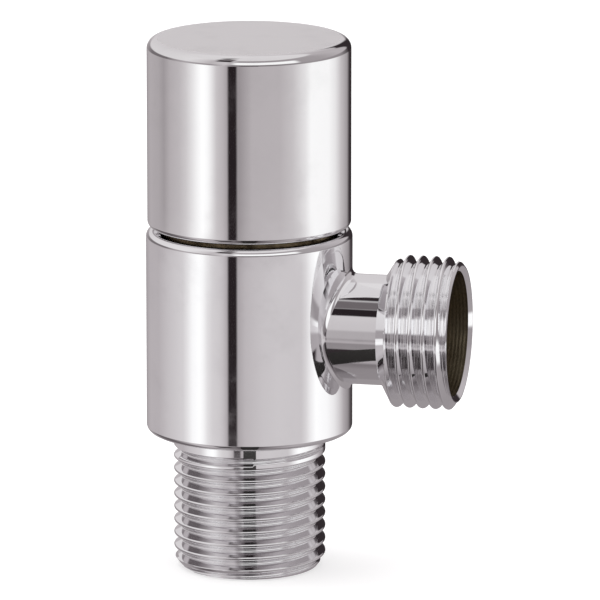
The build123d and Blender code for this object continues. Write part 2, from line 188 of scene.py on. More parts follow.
def wall(azimuth: Array, height: Array, middle: float, wall_radius: Callable[[Array], Array],
         finish: int = 0) -> Patch:
    """Points on an upright wall whose radius depends on the azimuth alone.

    A point is (r cos a, r sin a, height), and its normal is (1, -r'/r) in radial and tangential
    parts, with r' by a central difference.

    Args:
        azimuth: azimuths counted from the middle.
        height: heights.
        middle: the azimuth that they are counted from.
        wall_radius: the wall's radius at such an azimuth.
        finish: the number of the finish.

    Returns:
        The patch, seen from outside.
    """
    azimuth, height = np.broadcast_arrays(azimuth, height)
    radius, nudge = wall_radius(azimuth), 1e-5
    bend = (wall_radius(azimuth + nudge) - wall_radius(azimuth - nudge)) / (2.0 * nudge * radius)
    cosine, sine = np.cos(azimuth + middle), np.sin(azimuth + middle)
    points = np.stack([radius * cosine, radius * sine, height], axis=-1)
    normals = np.stack([cosine + bend * sine, sine - bend * cosine, 0.0 * bend], axis=-1)
    return Patch(points, normals / np.linalg.norm(normals, axis=-1, keepdims=True), finish)


def round_wall(radius: float) -> Callable[[Array], Array]:
    """The radius of a round wall, as a function of azimuth."""
    return lambda azimuth: radius + 0.0 * azimuth


def six_sided(apothem: float) -> Callable[[Array], Array]:
    """The radius of a six-sided wall with a flat at azimuth 0: apothem / cos of the angle from a flat."""
    return lambda azimuth: apothem / np.cos((azimuth + math.pi / 6.0) % (math.pi / 3.0) - math.pi / 6.0)


@dataclass(frozen=True)
class PipeThread:
    """Right-hand parallel pipe thread of 55 degree Whitworth form, with rounded crests and roots."""

    crest_radius: float
    pitch: float = 1.814
    flank_angle: float = 27.5

    @property
    def depth(self) -> float:
        """Height of the thread's section, 0.6403 of the pitch."""
        return 0.640327 * self.pitch

    @property
    def rounding(self) -> float:
        """Radius at the crests and roots, 0.1373 of the pitch."""
        return 0.137329 * self.pitch

    @property
    def root_radius(self) -> float:
        """Radius at the bottom of the thread."""
        return self.crest_radius - self.depth

    def knots(self) -> Array:
        """Axial places, over one pitch from a crest's middle, where the section needs a row."""
        tilt = math.radians(90.0 - self.flank_angle)
        arc = self.rounding * np.sin(np.linspace(0.0, tilt, 4))
        half = self.pitch / 2.0
        flank = np.linspace(arc[-1], half - arc[-1], 3)[1:-1]
        rising = np.concatenate([arc, flank, half - arc[::-1]])
        return np.concatenate([rising, self.pitch - rising[-2:0:-1]])

    def section(self, place: Array) -> tuple[Array, Array]:
        """Depth below the crest, and its slope, at axial places counted from a crest's middle.

        The section is an arc at the crest, a straight flank, and the same arc turned over at the root.
        """
        half = self.pitch / 2.0
        signed = (place + half) % self.pitch - half
        across = np.abs(signed)
        tilt = math.radians(90.0 - self.flank_angle)
        reach = self.rounding * math.sin(tilt)
        near = np.minimum(across, reach)
        far = np.minimum(half - across, reach)
        crest_drop = self.rounding - np.sqrt(self.rounding**2 - near**2)
        root_rise = self.rounding - np.sqrt(self.rounding**2 - far**2)
        flank = (np.clip(across, reach, half - reach) - reach) * math.tan(tilt)
        reach_drop = self.rounding * (1.0 - math.cos(tilt))
        depth = crest_drop + flank + reach_drop - root_rise
        slope = np.minimum(near / np.sqrt(self.rounding**2 - near**2),
                           far / np.sqrt(self.rounding**2 - far**2))
        return depth, slope * np.sign(signed)


@dataclass(frozen=True)
class ThreadRun:
    """A stretch of thread between two flat ends.

    The helix has a crest at crest_height where the angle is 0, and climbs a pitch for each turn.
    skin gives the blank's radius at a height, which the thread never passes, and floor the radius
    that it never cuts below. Past fade_start, an angle counted along the helix, the cutter
    withdraws until it is clear at fade_end.
    """

    thread: PipeThread
    low: float
    high: float
    crest_height: float
    skin: Callable[[Array], Array]
    floor: Callable[[Array], Array]
    fade_start: float = math.inf
    fade_end: float = math.inf

    def withdrawn(self, place: Array, angles: Array) -> Array:
        """How far the cutter has withdrawn, 0 to 1, in the groove nearest to each place."""
        if math.isinf(self.fade_start):
            return np.zeros_like(place + angles)
        pitch = self.thread.pitch
        groove = np.round(place / pitch - 0.5)
        travelled = angles + 2.0 * math.pi * groove
        return np.clip((travelled - self.fade_start) / (self.fade_end - self.fade_start), 0.0, 1.0)

    def patch(self, angles: Array, finish: int = 0,
              turning: Turning = Turning.BARREL, height: float = 0.0) -> Patch:
        """Rows that follow the helix, held between the two flat ends.

        The radius is the crest's less the section's depth, limited by the skin and the floor, and
        the normal is (1, -r'/r, -dr/dh) in radial, tangential and axial parts.
        """
        pitch = self.thread.pitch
        lift = pitch * angles[None, :] / (2.0 * math.pi)
        first = math.floor((self.low - self.crest_height - lift.max()) / pitch)
        last = math.ceil((self.high - self.crest_height - lift.min()) / pitch)
        turns = np.arange(first, last + 1)[:, None] * pitch
        places = (turns + self.thread.knots()[None, :]).reshape(-1, 1)
        level = np.clip(self.crest_height + lift + places, self.low, self.high)
        place = level - self.crest_height - lift
        depth, slope = self.thread.section(place)
        cut = depth - self.withdrawn(place, angles[None, :]) * self.thread.depth
        slope = np.where(cut > 0.0, slope, 0.0)
        radius = self.thread.crest_radius - np.maximum(cut, 0.0)
        around, axial = slope * pitch / (2.0 * math.pi), -slope
        step = 1e-4
        for limit, bound in ((self.floor, np.maximum), (self.skin, np.minimum)):
            edge = limit(level)
            held = bound(radius, edge) != radius
            climb = (limit(level + step) - limit(level - step)) / (2.0 * step)
            radius = bound(radius, edge)
            around = np.where(held, 0.0, around)
            axial = np.where(held, climb, axial)
        cosine, sine = np.cos(angles)[None, :], np.sin(angles)[None, :]
        swing = -around / radius
        points = np.stack([radius * cosine, radius * sine, level + 0.0 * radius], axis=-1)
        normals = np.stack([cosine - swing * sine, sine + swing * cosine, -axial + 0.0 * radius], axis=-1)
        normals /= np.linalg.norm(normals, axis=-1, keepdims=True)
        return Patch(set_up(points, turning, height), set_up(normals, turning), finish)


@dataclass(frozen=True)
class Window:
    """A part of a wall about Z, one wall high, that is gridded round a hole instead of in columns.

    Its edge goes anticlockwise as seen from outside, from its lower corner on the right.
    """

    azimuth_step: int
    half_steps: int
    side_steps: int
    low: float
    high: float

    @property
    def middle(self) -> float:
        """Azimuth of the window's middle, in radians."""
        return self.azimuth_step * 2.0 * math.pi / COLUMNS

    def edge(self) -> tuple[Array, Array]:
        """Azimuths from the window's middle, and heights, of the points along its edge."""
        half = self.half_steps
        across = np.arange(-half, half + 1) * (2.0 * math.pi / COLUMNS)
        up = np.linspace(self.low, self.high, self.side_steps + 1)
        azimuths = np.concatenate([np.full(len(up), across[-1]), across[-2::-1],
                                   np.full(len(up) - 1, across[0]), across[1:]])
        heights = np.concatenate([up, np.full(2 * half, self.high), up[-2::-1],
                                  np.full(2 * half, self.low)])
        return azimuths, heights

    def angles(self, wall_radius: float, hole_height: float) -> Array:
        """The edge points' directions from the hole's middle on the unrolled wall, in radians."""
        azimuths, heights = self.edge()
        return np.unwrap(np.arctan2(heights - hole_height, azimuths * wall_radius))

    def columns(self, wall_radius: Callable[[Array], Array], finish: int = 0) -> Patch:
        """The rest of the wall, in plain columns as high as the window."""
        start = self.azimuth_step + self.half_steps
        azimuth = column_angles(start, start + COLUMNS - 2 * self.half_steps) - self.middle
        return wall(azimuth[None, :], np.linspace(self.low, self.high, self.side_steps + 1)[:, None],
                    self.middle, wall_radius, finish)

    def pierced(self, wall_radius: Callable[[Array], Array], rim: tuple[Array, Array],
                finish: int = 0, steps: int = 10) -> Patch:
        """The window itself, in rows that shrink evenly from its edge to the hole's rim.

        Args:
            wall_radius: the wall's radius at an azimuth counted from the window's middle.
            rim: azimuths and heights of the rim, one for each point of the edge.
            finish: the number of the finish.
            steps: how many rows of faces.

        Returns:
            The patch, seen from outside.
        """
        share = np.linspace(0.0, 1.0, steps + 1)[:, None]
        azimuth, height = (a[None, :] * (1.0 - share) + b[None, :] * share
                           for a, b in zip(self.edge(), rim))
        return wall(azimuth, height, self.middle, wall_radius, finish)


def hole_rim(angles: Array, hole_radius: float, hole_height: float,
             wall_radius: float) -> tuple[Array, Array]:
    """Azimuths and heights where a round hole across the axis meets a round wall."""
    return (np.arcsin(hole_radius * np.cos(angles) / wall_radius),
            hole_height + hole_radius * np.sin(angles))


def joining(starts: Array, ends: Array, start_normals: Array, end_normals: Array, finish: int = 0) -> Patch:
    """A band of straight faces between two rows of points."""
    return Patch(np.stack([starts, ends]), np.stack([start_normals, end_normals]), finish)


# ---------------------------------------------------------------- meshes


def make_mesh(name: str, patches: Sequence[Patch]) -> bpy.types.Object:
    """Weld patches into one closed mesh with the patches' own normals.

    Args:
        name: the piece's name.
        patches: the grids, in millimetres.

    Returns:
        The mesh object, in metres, with its place in its mesh.
    """
    points = np.concatenate([p.points.reshape(-1, 3) for p in patches])
    normals = np.concatenate([p.normals.reshape(-1, 3) for p in patches])
    corners, finishes, start = [], [], 0
    for patch in patches:
        rows, columns = patch.points.shape[:2]
        number = start + np.arange(rows * columns).reshape(rows, columns)
        quads = np.stack([number[:-1, :-1], number[:-1, 1:], number[1:, 1:], number[1:, :-1]], axis=-1)
        corners.append(quads.reshape(-1, 4))
        finishes.append(np.full(quads.shape[0] * quads.shape[1], patch.finish))
        start += rows * columns
    corners, finishes = np.concatenate(corners), np.concatenate(finishes)
    _, kept, welded = np.unique(np.floor(points / WELD + WELD_OFFSET).astype(np.int64), axis=0,
                                return_index=True, return_inverse=True)
    faces = welded.reshape(-1)[corners]
    distinct = faces != np.roll(faces, 1, axis=1)
    sound = (distinct.sum(axis=1) >= 3) & (faces[:, 0] != faces[:, 2]) & (faces[:, 1] != faces[:, 3])
    faces, corners, distinct, finishes = faces[sound], corners[sound], distinct[sound], finishes[sound]
    counts = distinct.sum(axis=1)
    mesh = bpy.data.meshes.new(name)
    mesh.vertices.add(len(kept))
    mesh.vertices.foreach_set("co", (points[kept] * MM).ravel())
    mesh.loops.add(int(counts.sum()))
    mesh.loops.foreach_set("vertex_index", faces[distinct])
    mesh.polygons.add(len(faces))
    mesh.polygons.foreach_set("loop_start", np.concatenate([[0], np.cumsum(counts)[:-1]]))
    mesh.polygons.foreach_set("material_index", finishes)
    mesh.polygons.foreach_set("use_smooth", np.ones(len(faces), dtype=bool))
    mesh.update(calc_edges=True)
    mesh.normals_split_custom_set(normals[corners[distinct]].tolist())
    piece = bpy.data.objects.new(name, mesh)
    bpy.context.scene.collection.objects.link(piece)
    return piece


# ---------------------------------------------------------------- finishes


def linear(red: float, green: float, blue: float) -> tuple[float, float, float, float]:
    """A display colour of 0 to 255 as linear light: ((c + 0.055) / 1.055) ** 2.4 above the toe."""
    shares = np.array([red, green, blue]) / 255.0
    light = np.where(shares <= 0.04045, shares / 12.92, ((shares + 0.055) / 1.055) ** 2.4)
    return (*light.tolist(), 1.0)


class Graph:
    """Places nodes in a node tree and joins them."""

    def __init__(self, tree: bpy.types.NodeTree) -> None:
        """Start in an emptied tree."""
        self.tree = tree
        tree.nodes.clear()

    def node(self, kind: str, inputs: dict | None = None, **settings: object) -> bpy.types.Node:
        """Add a node.

        Args:
            kind: the node's type without its leading "ShaderNode".
            inputs: constants or sockets, by the input's name or number.
            settings: the node's own properties.

        Returns:
            The node.
        """
        node = self.tree.nodes.new(kind if kind.startswith("NodeGroup") else "ShaderNode" + kind)
        for key, value in settings.items():
            setattr(node, key, value)
        for key, value in (inputs or {}).items():
            if isinstance(value, bpy.types.NodeSocket):
                self.tree.links.new(value, node.inputs[key])
            else:
                node.inputs[key].default_value = value
        return node

    def maths(self, operation: str, *values: object) -> bpy.types.NodeSocket:
        """A Math node's result."""
        return self.node("Math", dict(enumerate(values)), operation=operation).outputs[0]

    def spread(self, value: object, low: float, high: float, start: float = 0.0,
               end: float = 1.0) -> bpy.types.NodeSocket:
        """A smooth step that carries low..high to start..end."""
        return self.node("MapRange", {0: value, 1: low, 2: high, 3: start, 4: end},
                         interpolation_type="SMOOTHSTEP").outputs[0]

    def band(self, value: object, low: float, high: float, soft: float) -> bpy.types.NodeSocket:
        """1 between low and high, falling to 0 within soft of each."""
        return self.maths("MULTIPLY", self.spread(value, low - soft, low + soft),
                          self.spread(value, high + soft, high - soft))

    def blend(self, share: object, first: object, second: object,
              blend_type: str = "MIX") -> bpy.types.NodeSocket:
        """A mix of two colours."""
        node = self.node("Mix", {"Factor": share}, data_type="RGBA", blend_type=blend_type)
        for name, value in (("A", first), ("B", second)):
            socket = next(s for s in node.inputs if s.name == name and s.type == "RGBA")
            if isinstance(value, bpy.types.NodeSocket):
                self.tree.links.new(value, socket)
            else:
                socket.default_value = value
        return next(s for s in node.outputs if s.type == "RGBA")


def new_group(name: str, inputs: dict[str, str], outputs: dict[str, str]) -> tuple:
    """Start a shader node group.

    Args:
        name: the group's name.
        inputs: socket types by name, "Vector" or "Float".
        outputs: socket types by name.

    Returns:
        The group's tree, its graph, its input node and its output node.
    """
    tree = bpy.data.node_groups.new(name, "ShaderNodeTree")
    for direction, sockets in (("INPUT", inputs), ("OUTPUT", outputs)):
        for label, kind in sockets.items():
            tree.interface.new_socket(label, in_out=direction, socket_type="NodeSocket" + kind)
    graph = Graph(tree)
    return tree, graph, graph.node("NodeGroupInput"), graph.node("NodeGroupOutput")


def make_handling_group() -> bpy.types.NodeTree:
    """Marks that hands and wrapping leave: soft smudges, fine scratches and specks of dust."""
    tree, graph, start, end = new_group(
        "handling_marks", {"Place": "Vector", "Scale": "Float"},
        {"Smudge": "Float", "Scratch": "Float", "Dust": "Float", "Ripple": "Float"})
    place = graph.node("VectorMath", {0: start.outputs["Place"], "Scale": start.outputs["Scale"]},
                       operation="SCALE").outputs[0]
    cloud = graph.node("TexNoise", {"Vector": place, "Scale": 0.14, "Detail": 4.0, "Roughness": 0.62})
    graph.tree.links.new(graph.spread(cloud.outputs[0], 0.46, 0.72), end.inputs["Smudge"])
    scratches = []
    for turn, stretch in ((0.5, 0.06), (2.1, 0.05), (1.2, 0.08)):
        slanted = graph.node("Mapping", {0: place, "Rotation": (turn, 0.7 * turn, 0.4),
                                         "Scale": (1.0, stretch, 1.0)}).outputs[0]
        line = graph.node("TexNoise", {"Vector": slanted, "Scale": 3.1, "Detail": 1.0}).outputs[0]
        off_line = graph.maths("ABSOLUTE", graph.maths("SUBTRACT", line, 0.5))
        patchy = graph.node("TexNoise", {"Vector": place, "Scale": 0.3 + 0.1 * turn}).outputs[0]
        scratches.append(graph.maths("MULTIPLY", graph.spread(off_line, 0.0, 0.006, 1.0, 0.0),
                                     graph.spread(patchy, 0.55, 0.68)))
    both = graph.maths("MAXIMUM", scratches[0], scratches[1])
    graph.tree.links.new(graph.maths("MAXIMUM", both, scratches[2]), end.inputs["Scratch"])
    specks = graph.node("TexVoronoi", {"Vector": place, "Scale": 2.3, "Randomness": 1.0})
    graph.tree.links.new(graph.spread(specks.outputs["Distance"], 0.03, 0.07, 1.0, 0.0), end.inputs["Dust"])
    swell = graph.node("TexNoise", {"Vector": place, "Scale": 0.3, "Detail": 1.0}).outputs[0]
    graph.tree.links.new(swell, end.inputs["Ripple"])
    return tree


def make_tool_group() -> bpy.types.NodeTree:
    """Rings that a lathe tool leaves about an upright axis, on round walls and on flat ends alike.

    The phase is 2 pi (height + distance from the axis) / pitch, shaken by a little noise.
    """
    tree, graph, start, end = new_group(
        "tool_rings", {"Place": "Vector", "Pitch": "Float"}, {"Height": "Float", "Streak": "Float"})
    parts = graph.node("SeparateXYZ", {0: start.outputs["Place"]}).outputs
    across = graph.maths("SQRT", graph.maths("ADD", graph.maths("MULTIPLY", parts[0], parts[0]),
                                             graph.maths("MULTIPLY", parts[1], parts[1])))
    travel = graph.maths("ADD", parts[2], across)
    shake = graph.node("TexNoise", {"Vector": start.outputs["Place"], "Scale": 0.8}).outputs[0]
    phase = graph.maths("ADD", graph.maths("DIVIDE", travel, start.outputs["Pitch"]),
                        graph.maths("MULTIPLY", shake, 0.35))
    wave = graph.maths("SINE", graph.maths("MULTIPLY", phase, 2.0 * math.pi))
    graph.tree.links.new(graph.spread(wave, -1.0, 1.0), end.inputs["Height"])
    bands = graph.node("CombineXYZ", {0: graph.maths("MULTIPLY", travel, 4.0)}).outputs[0]
    streak = graph.node("TexNoise", {"Vector": bands, "Scale": 1.0, "Detail": 3.0}).outputs[0]
    graph.tree.links.new(streak, end.inputs["Streak"])
    return tree


def make_mottle_group() -> bpy.types.NodeTree:
    """Uneven colour, as of tarnish, mould flow or fired clay: two clouds and a fine grain."""
    tree, graph, start, end = new_group(
        "mottle", {"Place": "Vector", "Size": "Float"}, {"Cloud": "Float", "Grain": "Float"})
    place = graph.node("VectorMath", {0: start.outputs["Place"]}, operation="SCALE")
    graph.tree.links.new(graph.maths("DIVIDE", 1.0, start.outputs["Size"]), place.inputs["Scale"])
    cloud = graph.node("TexNoise", {"Vector": place.outputs[0], "Scale": 1.0, "Detail": 6.0,
                                    "Roughness": 0.6, "Distortion": 0.6}).outputs[0]
    graph.tree.links.new(graph.spread(cloud, 0.35, 0.68), end.inputs["Cloud"])
    grain = graph.node("TexNoise", {"Vector": start.outputs["Place"], "Scale": 9.0, "Detail": 2.0})
    graph.tree.links.new(grain.outputs[0], end.inputs["Grain"])
    return tree


def shared_group(name: str) -> bpy.types.NodeTree:
    """One of the effects that the finishes share, made when it is first asked for."""
    makers = {"handling_marks": make_handling_group, "tool_rings": make_tool_group,
              "mottle": make_mottle_group}
    return bpy.data.node_groups.get(name) or makers[name]()


class Axis(Enum):
    """The axis that a tool's rings go round: rotation that stands it up."""

    UPRIGHT = (0.0, 0.0, 0.0)
    OUTLET = (0.0, -math.pi / 2.0, 0.0)


@dataclass(frozen=True)
class Finish:
    """What every finish needs: a name and a way to place nodes about the piece in millimetres."""

    name: str

    def started(self) -> tuple[bpy.types.Material, Graph, bpy.types.Node, bpy.types.NodeSocket]:
        """A new material with its graph, its Principled shader and its place in millimetres."""
        material = bpy.data.materials.new(self.name)
        material.use_nodes = True
        graph = Graph(material.node_tree)
        shader = graph.node("BsdfPrincipled")
        graph.node("OutputMaterial", {"Surface": shader.outputs[0]})
        where = graph.node("TexCoord").outputs["Object"]
        place = graph.node("VectorMath", {0: where, "Scale": 1.0 / MM}, operation="SCALE").outputs[0]
        return material, graph, shader, place

    def material(self) -> bpy.types.Material:
        """The finish as a material. Each kind of finish makes its own."""
        raise NotImplementedError


@dataclass(frozen=True)
class Plate(Finish):
    """Nickel and chrome plate, from mirror polish to satin."""

    colour: tuple[float, float, float, float] = (0.925, 0.925, 0.935, 1.0)
    polish: float = 0.035
    smudge: float = 0.05
    rubbed: float = 0.965
    ring_height: float = 0.0
    ring_pitch: float = 0.35

    def material(self) -> bpy.types.Material:
        """Plate: smudges and scratches dull the mirror, and a ripple of a few microns bends it."""
        material, graph, shader, place = self.started()
        marks = graph.node("Group", node_tree=shared_group("handling_marks"))
        graph.tree.links.new(place, marks.inputs["Place"])
        marks.inputs["Scale"].default_value = 1.0
        rubbed = tuple(self.rubbed * part for part in self.colour[:3]) + (1.0,)
        tint = graph.blend(marks.outputs["Smudge"], self.colour, rubbed)
        dusty = graph.maths("MULTIPLY", marks.outputs["Dust"], 0.06)
        graph.tree.links.new(graph.blend(dusty, tint, linear(150, 146, 140)), shader.inputs["Base Color"])
        dull = graph.maths("MULTIPLY_ADD", marks.outputs["Smudge"], self.smudge, self.polish)
        dull = graph.maths("MULTIPLY_ADD", marks.outputs["Scratch"], 0.03, dull)
        graph.tree.links.new(graph.maths("MULTIPLY_ADD", marks.outputs["Dust"], 0.05, dull),
                             shader.inputs["Roughness"])
        shader.inputs["Metallic"].default_value = 1.0
        ripple = graph.node("Bump", {"Height": marks.outputs["Ripple"], "Distance": 4e-6, "Strength": 1.0})
        normal = graph.node("Bump", {"Height": marks.outputs["Scratch"], "Distance": -2e-7,
                                     "Strength": 1.0, "Normal": ripple.outputs[0]}).outputs[0]
        if self.ring_height > 0.0:
            rings = graph.node("Group", {"Place": place, "Pitch": self.ring_pitch},
                               node_tree=shared_group("tool_rings"))
            normal = graph.node("Bump", {"Height": rings.outputs["Streak"], "Strength": 1.0,
                                         "Distance": self.ring_height * MM, "Normal": normal}).outputs[0]
        graph.tree.links.new(normal, shader.inputs["Normal"])
        return material


@dataclass(frozen=True)
class CutMetal(Finish):
    """Bare metal with the rings of the tool that cut it, and some tarnish."""

    bright: tuple[float, float, float, float] = linear(222, 186, 120)
    dark: tuple[float, float, float, float] = linear(132, 98, 52)
    stain: tuple[float, float, float, float] = linear(120, 66, 40)
    tarnish: float = 0.5
    polish: float = 0.22
    ring_pitch: float = 0.22
    ring_height: float = 0.004
    axis: Axis = Axis.UPRIGHT
    axis_height: float = 0.0

    def material(self) -> bpy.types.Material:
        """Cut metal: the rings bend the light, and tarnish darkens and dulls it in clouds."""
        material, graph, shader, place = self.started()
        lowered = graph.node("VectorMath", {0: place, 1: (0.0, 0.0, -self.axis_height)}, operation="ADD")
        upright = graph.node("Mapping", {0: lowered.outputs[0], "Rotation": self.axis.value}).outputs[0]
        rings = graph.node("Group", {"Place": upright, "Pitch": self.ring_pitch},
                           node_tree=shared_group("tool_rings"))
        clouds = graph.node("Group", {"Place": place, "Size": 4.0}, node_tree=shared_group("mottle"))
        marks = graph.node("Group", {"Place": place, "Scale": 1.6}, node_tree=shared_group("handling_marks"))
        aged = graph.maths("MULTIPLY", clouds.outputs["Cloud"], self.tarnish)
        base = graph.blend(aged, self.bright, self.dark)
        streaky = graph.spread(rings.outputs["Streak"], 0.52, 0.75, 0.0, 0.6 * self.tarnish)
        graph.tree.links.new(graph.blend(streaky, base, self.stain), shader.inputs["Base Color"])
        dull = graph.maths("MULTIPLY_ADD", aged, 0.28, self.polish)
        graph.tree.links.new(graph.maths("MULTIPLY_ADD", marks.outputs["Smudge"], 0.08, dull),
                             shader.inputs["Roughness"])
        shader.inputs["Metallic"].default_value = 1.0
        ringed = graph.node("Bump", {"Height": rings.outputs["Height"], "Strength": 1.0,
                                     "Distance": self.ring_height * MM})
        scratched = graph.node("Bump", {"Height": marks.outputs["Scratch"], "Distance": -2e-6,
                                        "Strength": 1.0, "Normal": ringed.outputs[0]})
        graph.tree.links.new(scratched.outputs[0], shader.inputs["Normal"])
        return material


@dataclass(frozen=True)
class Moulded(Finish):
    """Plastic, rubber or fired ceramic: one colour with a soft mottle and a fine surface grain."""

    colour: tuple[float, float, float, float] = linear(200, 200, 200)
    shade: tuple[float, float, float, float] = linear(180, 180, 180)
    polish: float = 0.4
    grain: float = 0.004
    cloud_size: float = 3.0
    dust: float = 0.1
    see_in: float = 0.0

    def material(self) -> bpy.types.Material:
        """Moulded stuff: mottled colour, uneven gloss, grain in the normal and a little dust."""
        material, graph, shader, place = self.started()
        clouds = graph.node("Group", {"Place": place, "Size": self.cloud_size},
                            node_tree=shared_group("mottle"))
        marks = graph.node("Group", {"Place": place, "Scale": 2.0}, node_tree=shared_group("handling_marks"))
        tint = graph.blend(clouds.outputs["Cloud"], self.colour, self.shade)
        dusty = graph.maths("MULTIPLY", marks.outputs["Dust"], self.dust)
        graph.tree.links.new(graph.blend(dusty, tint, linear(205, 202, 196)), shader.inputs["Base Color"])
        dull = graph.maths("MULTIPLY_ADD", marks.outputs["Smudge"], 0.12, self.polish)
        graph.tree.links.new(graph.maths("MULTIPLY_ADD", marks.outputs["Scratch"], 0.1, dull),
                             shader.inputs["Roughness"])
        shader.inputs["Subsurface Weight"].default_value = self.see_in
        shader.inputs["Subsurface Radius"].default_value = (8e-4, 7e-4, 6e-4)
        bump = graph.node("Bump", {"Height": clouds.outputs["Grain"], "Strength": 1.0,
                                   "Distance": self.grain * MM})
        graph.tree.links.new(bump.outputs[0], shader.inputs["Normal"])
        return material


# ---------------------------------------------------------------- the valve body


def outline(corners: Sequence[tuple[float, float]], finish: int, angles: Array,
            turning: Turning = Turning.BARREL, height: float = 0.0) -> list[Patch]:
    """Turn a broken line of corners, each stretch its own patch so that every corner stays sharp."""
    return [turned(straight(a, b), angles, finish, turning, height) for a, b in zip(corners, corners[1:])]


@dataclass
class ValveBody:
    """The forging that holds everything: inlet shank, barrel and outlet in one closed surface."""

    thread: PipeThread = PipeThread(crest_radius=10.4775)
    crest_height: float = 1.785
    shank_length: float = 19.2
    thread_top: float = 18.3
    last_full_groove: float = 7.0
    run_out: tuple[float, float] = (190.0, 380.0)
    inlet_end_radius: float = 9.4155
    inlet_chamfer_length: float = 1.4
    inlet_mouth_radius: float = 8.0155
    inlet_mouth_depth: float = 6.0
    inlet_bore_radius: float = 7.0155
    inlet_bore_top: float = 20.4
    port_radius: float = 5.5
    seat_height: float = 25.0
    chamber_radius: float = 10.8155
    chamber_top: float = 38.6
    barrel_radius: float = 14.1975
    barrel_top_fillet: float = 1.0
    barrel_bottom_fillet: float = 0.8
    gasket_pocket_radius: float = 11.0975
    gasket_pocket_depth: float = 1.95
    socket_grooves: tuple[float, ...] = (43.85, 42.036, 40.222)
    groove_mouth: float = 0.756
    groove_floor: float = 0.151
    outlet_height: float = 34.0
    neck_radius: float = 7.6
    neck_fillet: float = 0.9
    neck_end: float = 19.3
    outlet_thread_start: float = 21.0
    outlet_thread_end: float = 28.6
    outlet_crest: float = 19.94
    outlet_lip_radius: float = 9.4355
    outlet_lip_edge: float = 9.2855
    outlet_lip_depth: float = 0.5
    outlet_mouth_radius: float = 8.5955
    outlet_mouth_depth: float = 5.0
    outlet_bore_radius: float = 4.6
    barrel_top: float = field(init=False)
    outlet_reach: float = field(init=False)

    def __post_init__(self) -> None:
        """Take the height and the reach from the frame."""
        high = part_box("valve_body")[1]
        self.outlet_reach, self.barrel_top = high[0] / MM, high[2] / MM

    def inlet_skin(self, height: Array) -> Array:
        """The shank before its thread is cut: a chamfer at the end, then the crest's radius."""
        rise = (self.thread.crest_radius - self.inlet_end_radius) / self.inlet_chamfer_length
        return np.minimum(self.inlet_end_radius + rise * height, self.thread.crest_radius)

    def inlet_floor(self, height: Array) -> Array:
        """The inlet thread's root, with a small bevel that brings it out to the end face."""
        return np.maximum(self.thread.root_radius, self.inlet_end_radius - height)

    def outlet_skin(self, reach: Array) -> Array:
        """The outlet before its thread is cut: a cone behind, the crest, and a chamfer in front."""
        crest = self.thread.crest_radius
        cone = self.neck_radius + (crest - self.neck_radius) * (reach - self.neck_end) / (
            self.outlet_thread_start - self.neck_end)
        front = crest - (crest - self.outlet_lip_radius) * (reach - self.outlet_thread_end) / (
            self.outlet_reach - self.outlet_thread_end)
        return np.minimum(np.minimum(cone, crest), front)

    def outlet_floor(self, reach: Array) -> Array:
        """The outlet thread's root, with a small bevel that brings it out to the lip."""
        return np.maximum(self.thread.root_radius, self.outlet_lip_radius - (self.outlet_reach - reach))

    def shank(self) -> list[Patch]:
        """End face, threaded shank whose last groove runs out, and collar."""
        angles = column_angles()
        last_groove = self.last_full_groove * 2.0 * math.pi
        fading, gone = (last_groove + math.radians(turn) for turn in self.run_out)
        run = ThreadRun(self.thread, 0.0, self.thread_top, self.crest_height, self.inlet_skin,
                        self.inlet_floor, fading, gone)
        crest = self.thread.crest_radius
        end = (self.barrel_radius - self.barrel_bottom_fillet, self.shank_length)
        return [
            *outline([(self.inlet_mouth_radius, 0.0), (self.inlet_end_radius, 0.0)], 0, angles),
            run.patch(angles),
            *outline([(crest, self.thread_top), (crest, self.shank_length), end], 0, angles),
        ]

    def waterway(self) -> list[Patch]:
        """Everything inside the barrel, from the gasket's pocket down to the inlet's mouth."""
        angles = column_angles()
        root, crest = self.thread.root_radius, self.thread.crest_radius
        pocket_bottom = self.barrel_top - self.gasket_pocket_depth
        socket = [(self.gasket_pocket_radius, self.barrel_top), (self.gasket_pocket_radius, pocket_bottom),
                  (root, pocket_bottom)]
        for groove in self.socket_grooves:
            socket += [(root, groove + self.groove_mouth), (crest, groove + self.groove_floor),
                       (crest, groove - self.groove_floor), (root, groove - self.groove_mouth)]
        socket += [(root, self.chamber_top), (self.chamber_radius, self.chamber_top)]
        cone_top = self.inlet_bore_top + self.inlet_bore_radius - self.port_radius
        inlet = [(self.chamber_radius, self.seat_height), (self.port_radius, self.seat_height),
                 (self.port_radius, cone_top), (self.inlet_bore_radius, self.inlet_bore_top),
                 (self.inlet_bore_radius, self.inlet_mouth_depth),
                 (self.inlet_mouth_radius, self.inlet_mouth_depth), (self.inlet_mouth_radius, 0.0)]
        return outline(socket, 1, angles) + outline(inlet, 1, angles)

    def barrel(self) -> list[Patch]:
        """The barrel's outside with its rounded rims, open where the neck grows out of it."""
        angles = column_angles()
        window = self.outer_window()
        bottom = (self.barrel_radius - self.barrel_bottom_fillet, window.low)
        top = (self.barrel_radius - self.barrel_top_fillet, window.high)
        return [
            turned(rounded(bottom, self.barrel_bottom_fillet, -90.0, 0.0), angles),
            window.columns(round_wall(self.barrel_radius)),
            window.pierced(round_wall(self.barrel_radius), self.neck_foot(window)),
            turned(rounded(top, self.barrel_top_fillet, 0.0, 90.0), angles),
            *outline([(top[0], self.barrel_top), (self.gasket_pocket_radius, self.barrel_top)], 0, angles),
        ]

    def outer_window(self) -> Window:
        """The part of the barrel's wall round the neck."""
        return Window(0, 30, 40, self.shank_length + self.barrel_bottom_fillet,
                      self.barrel_top - self.barrel_top_fillet)

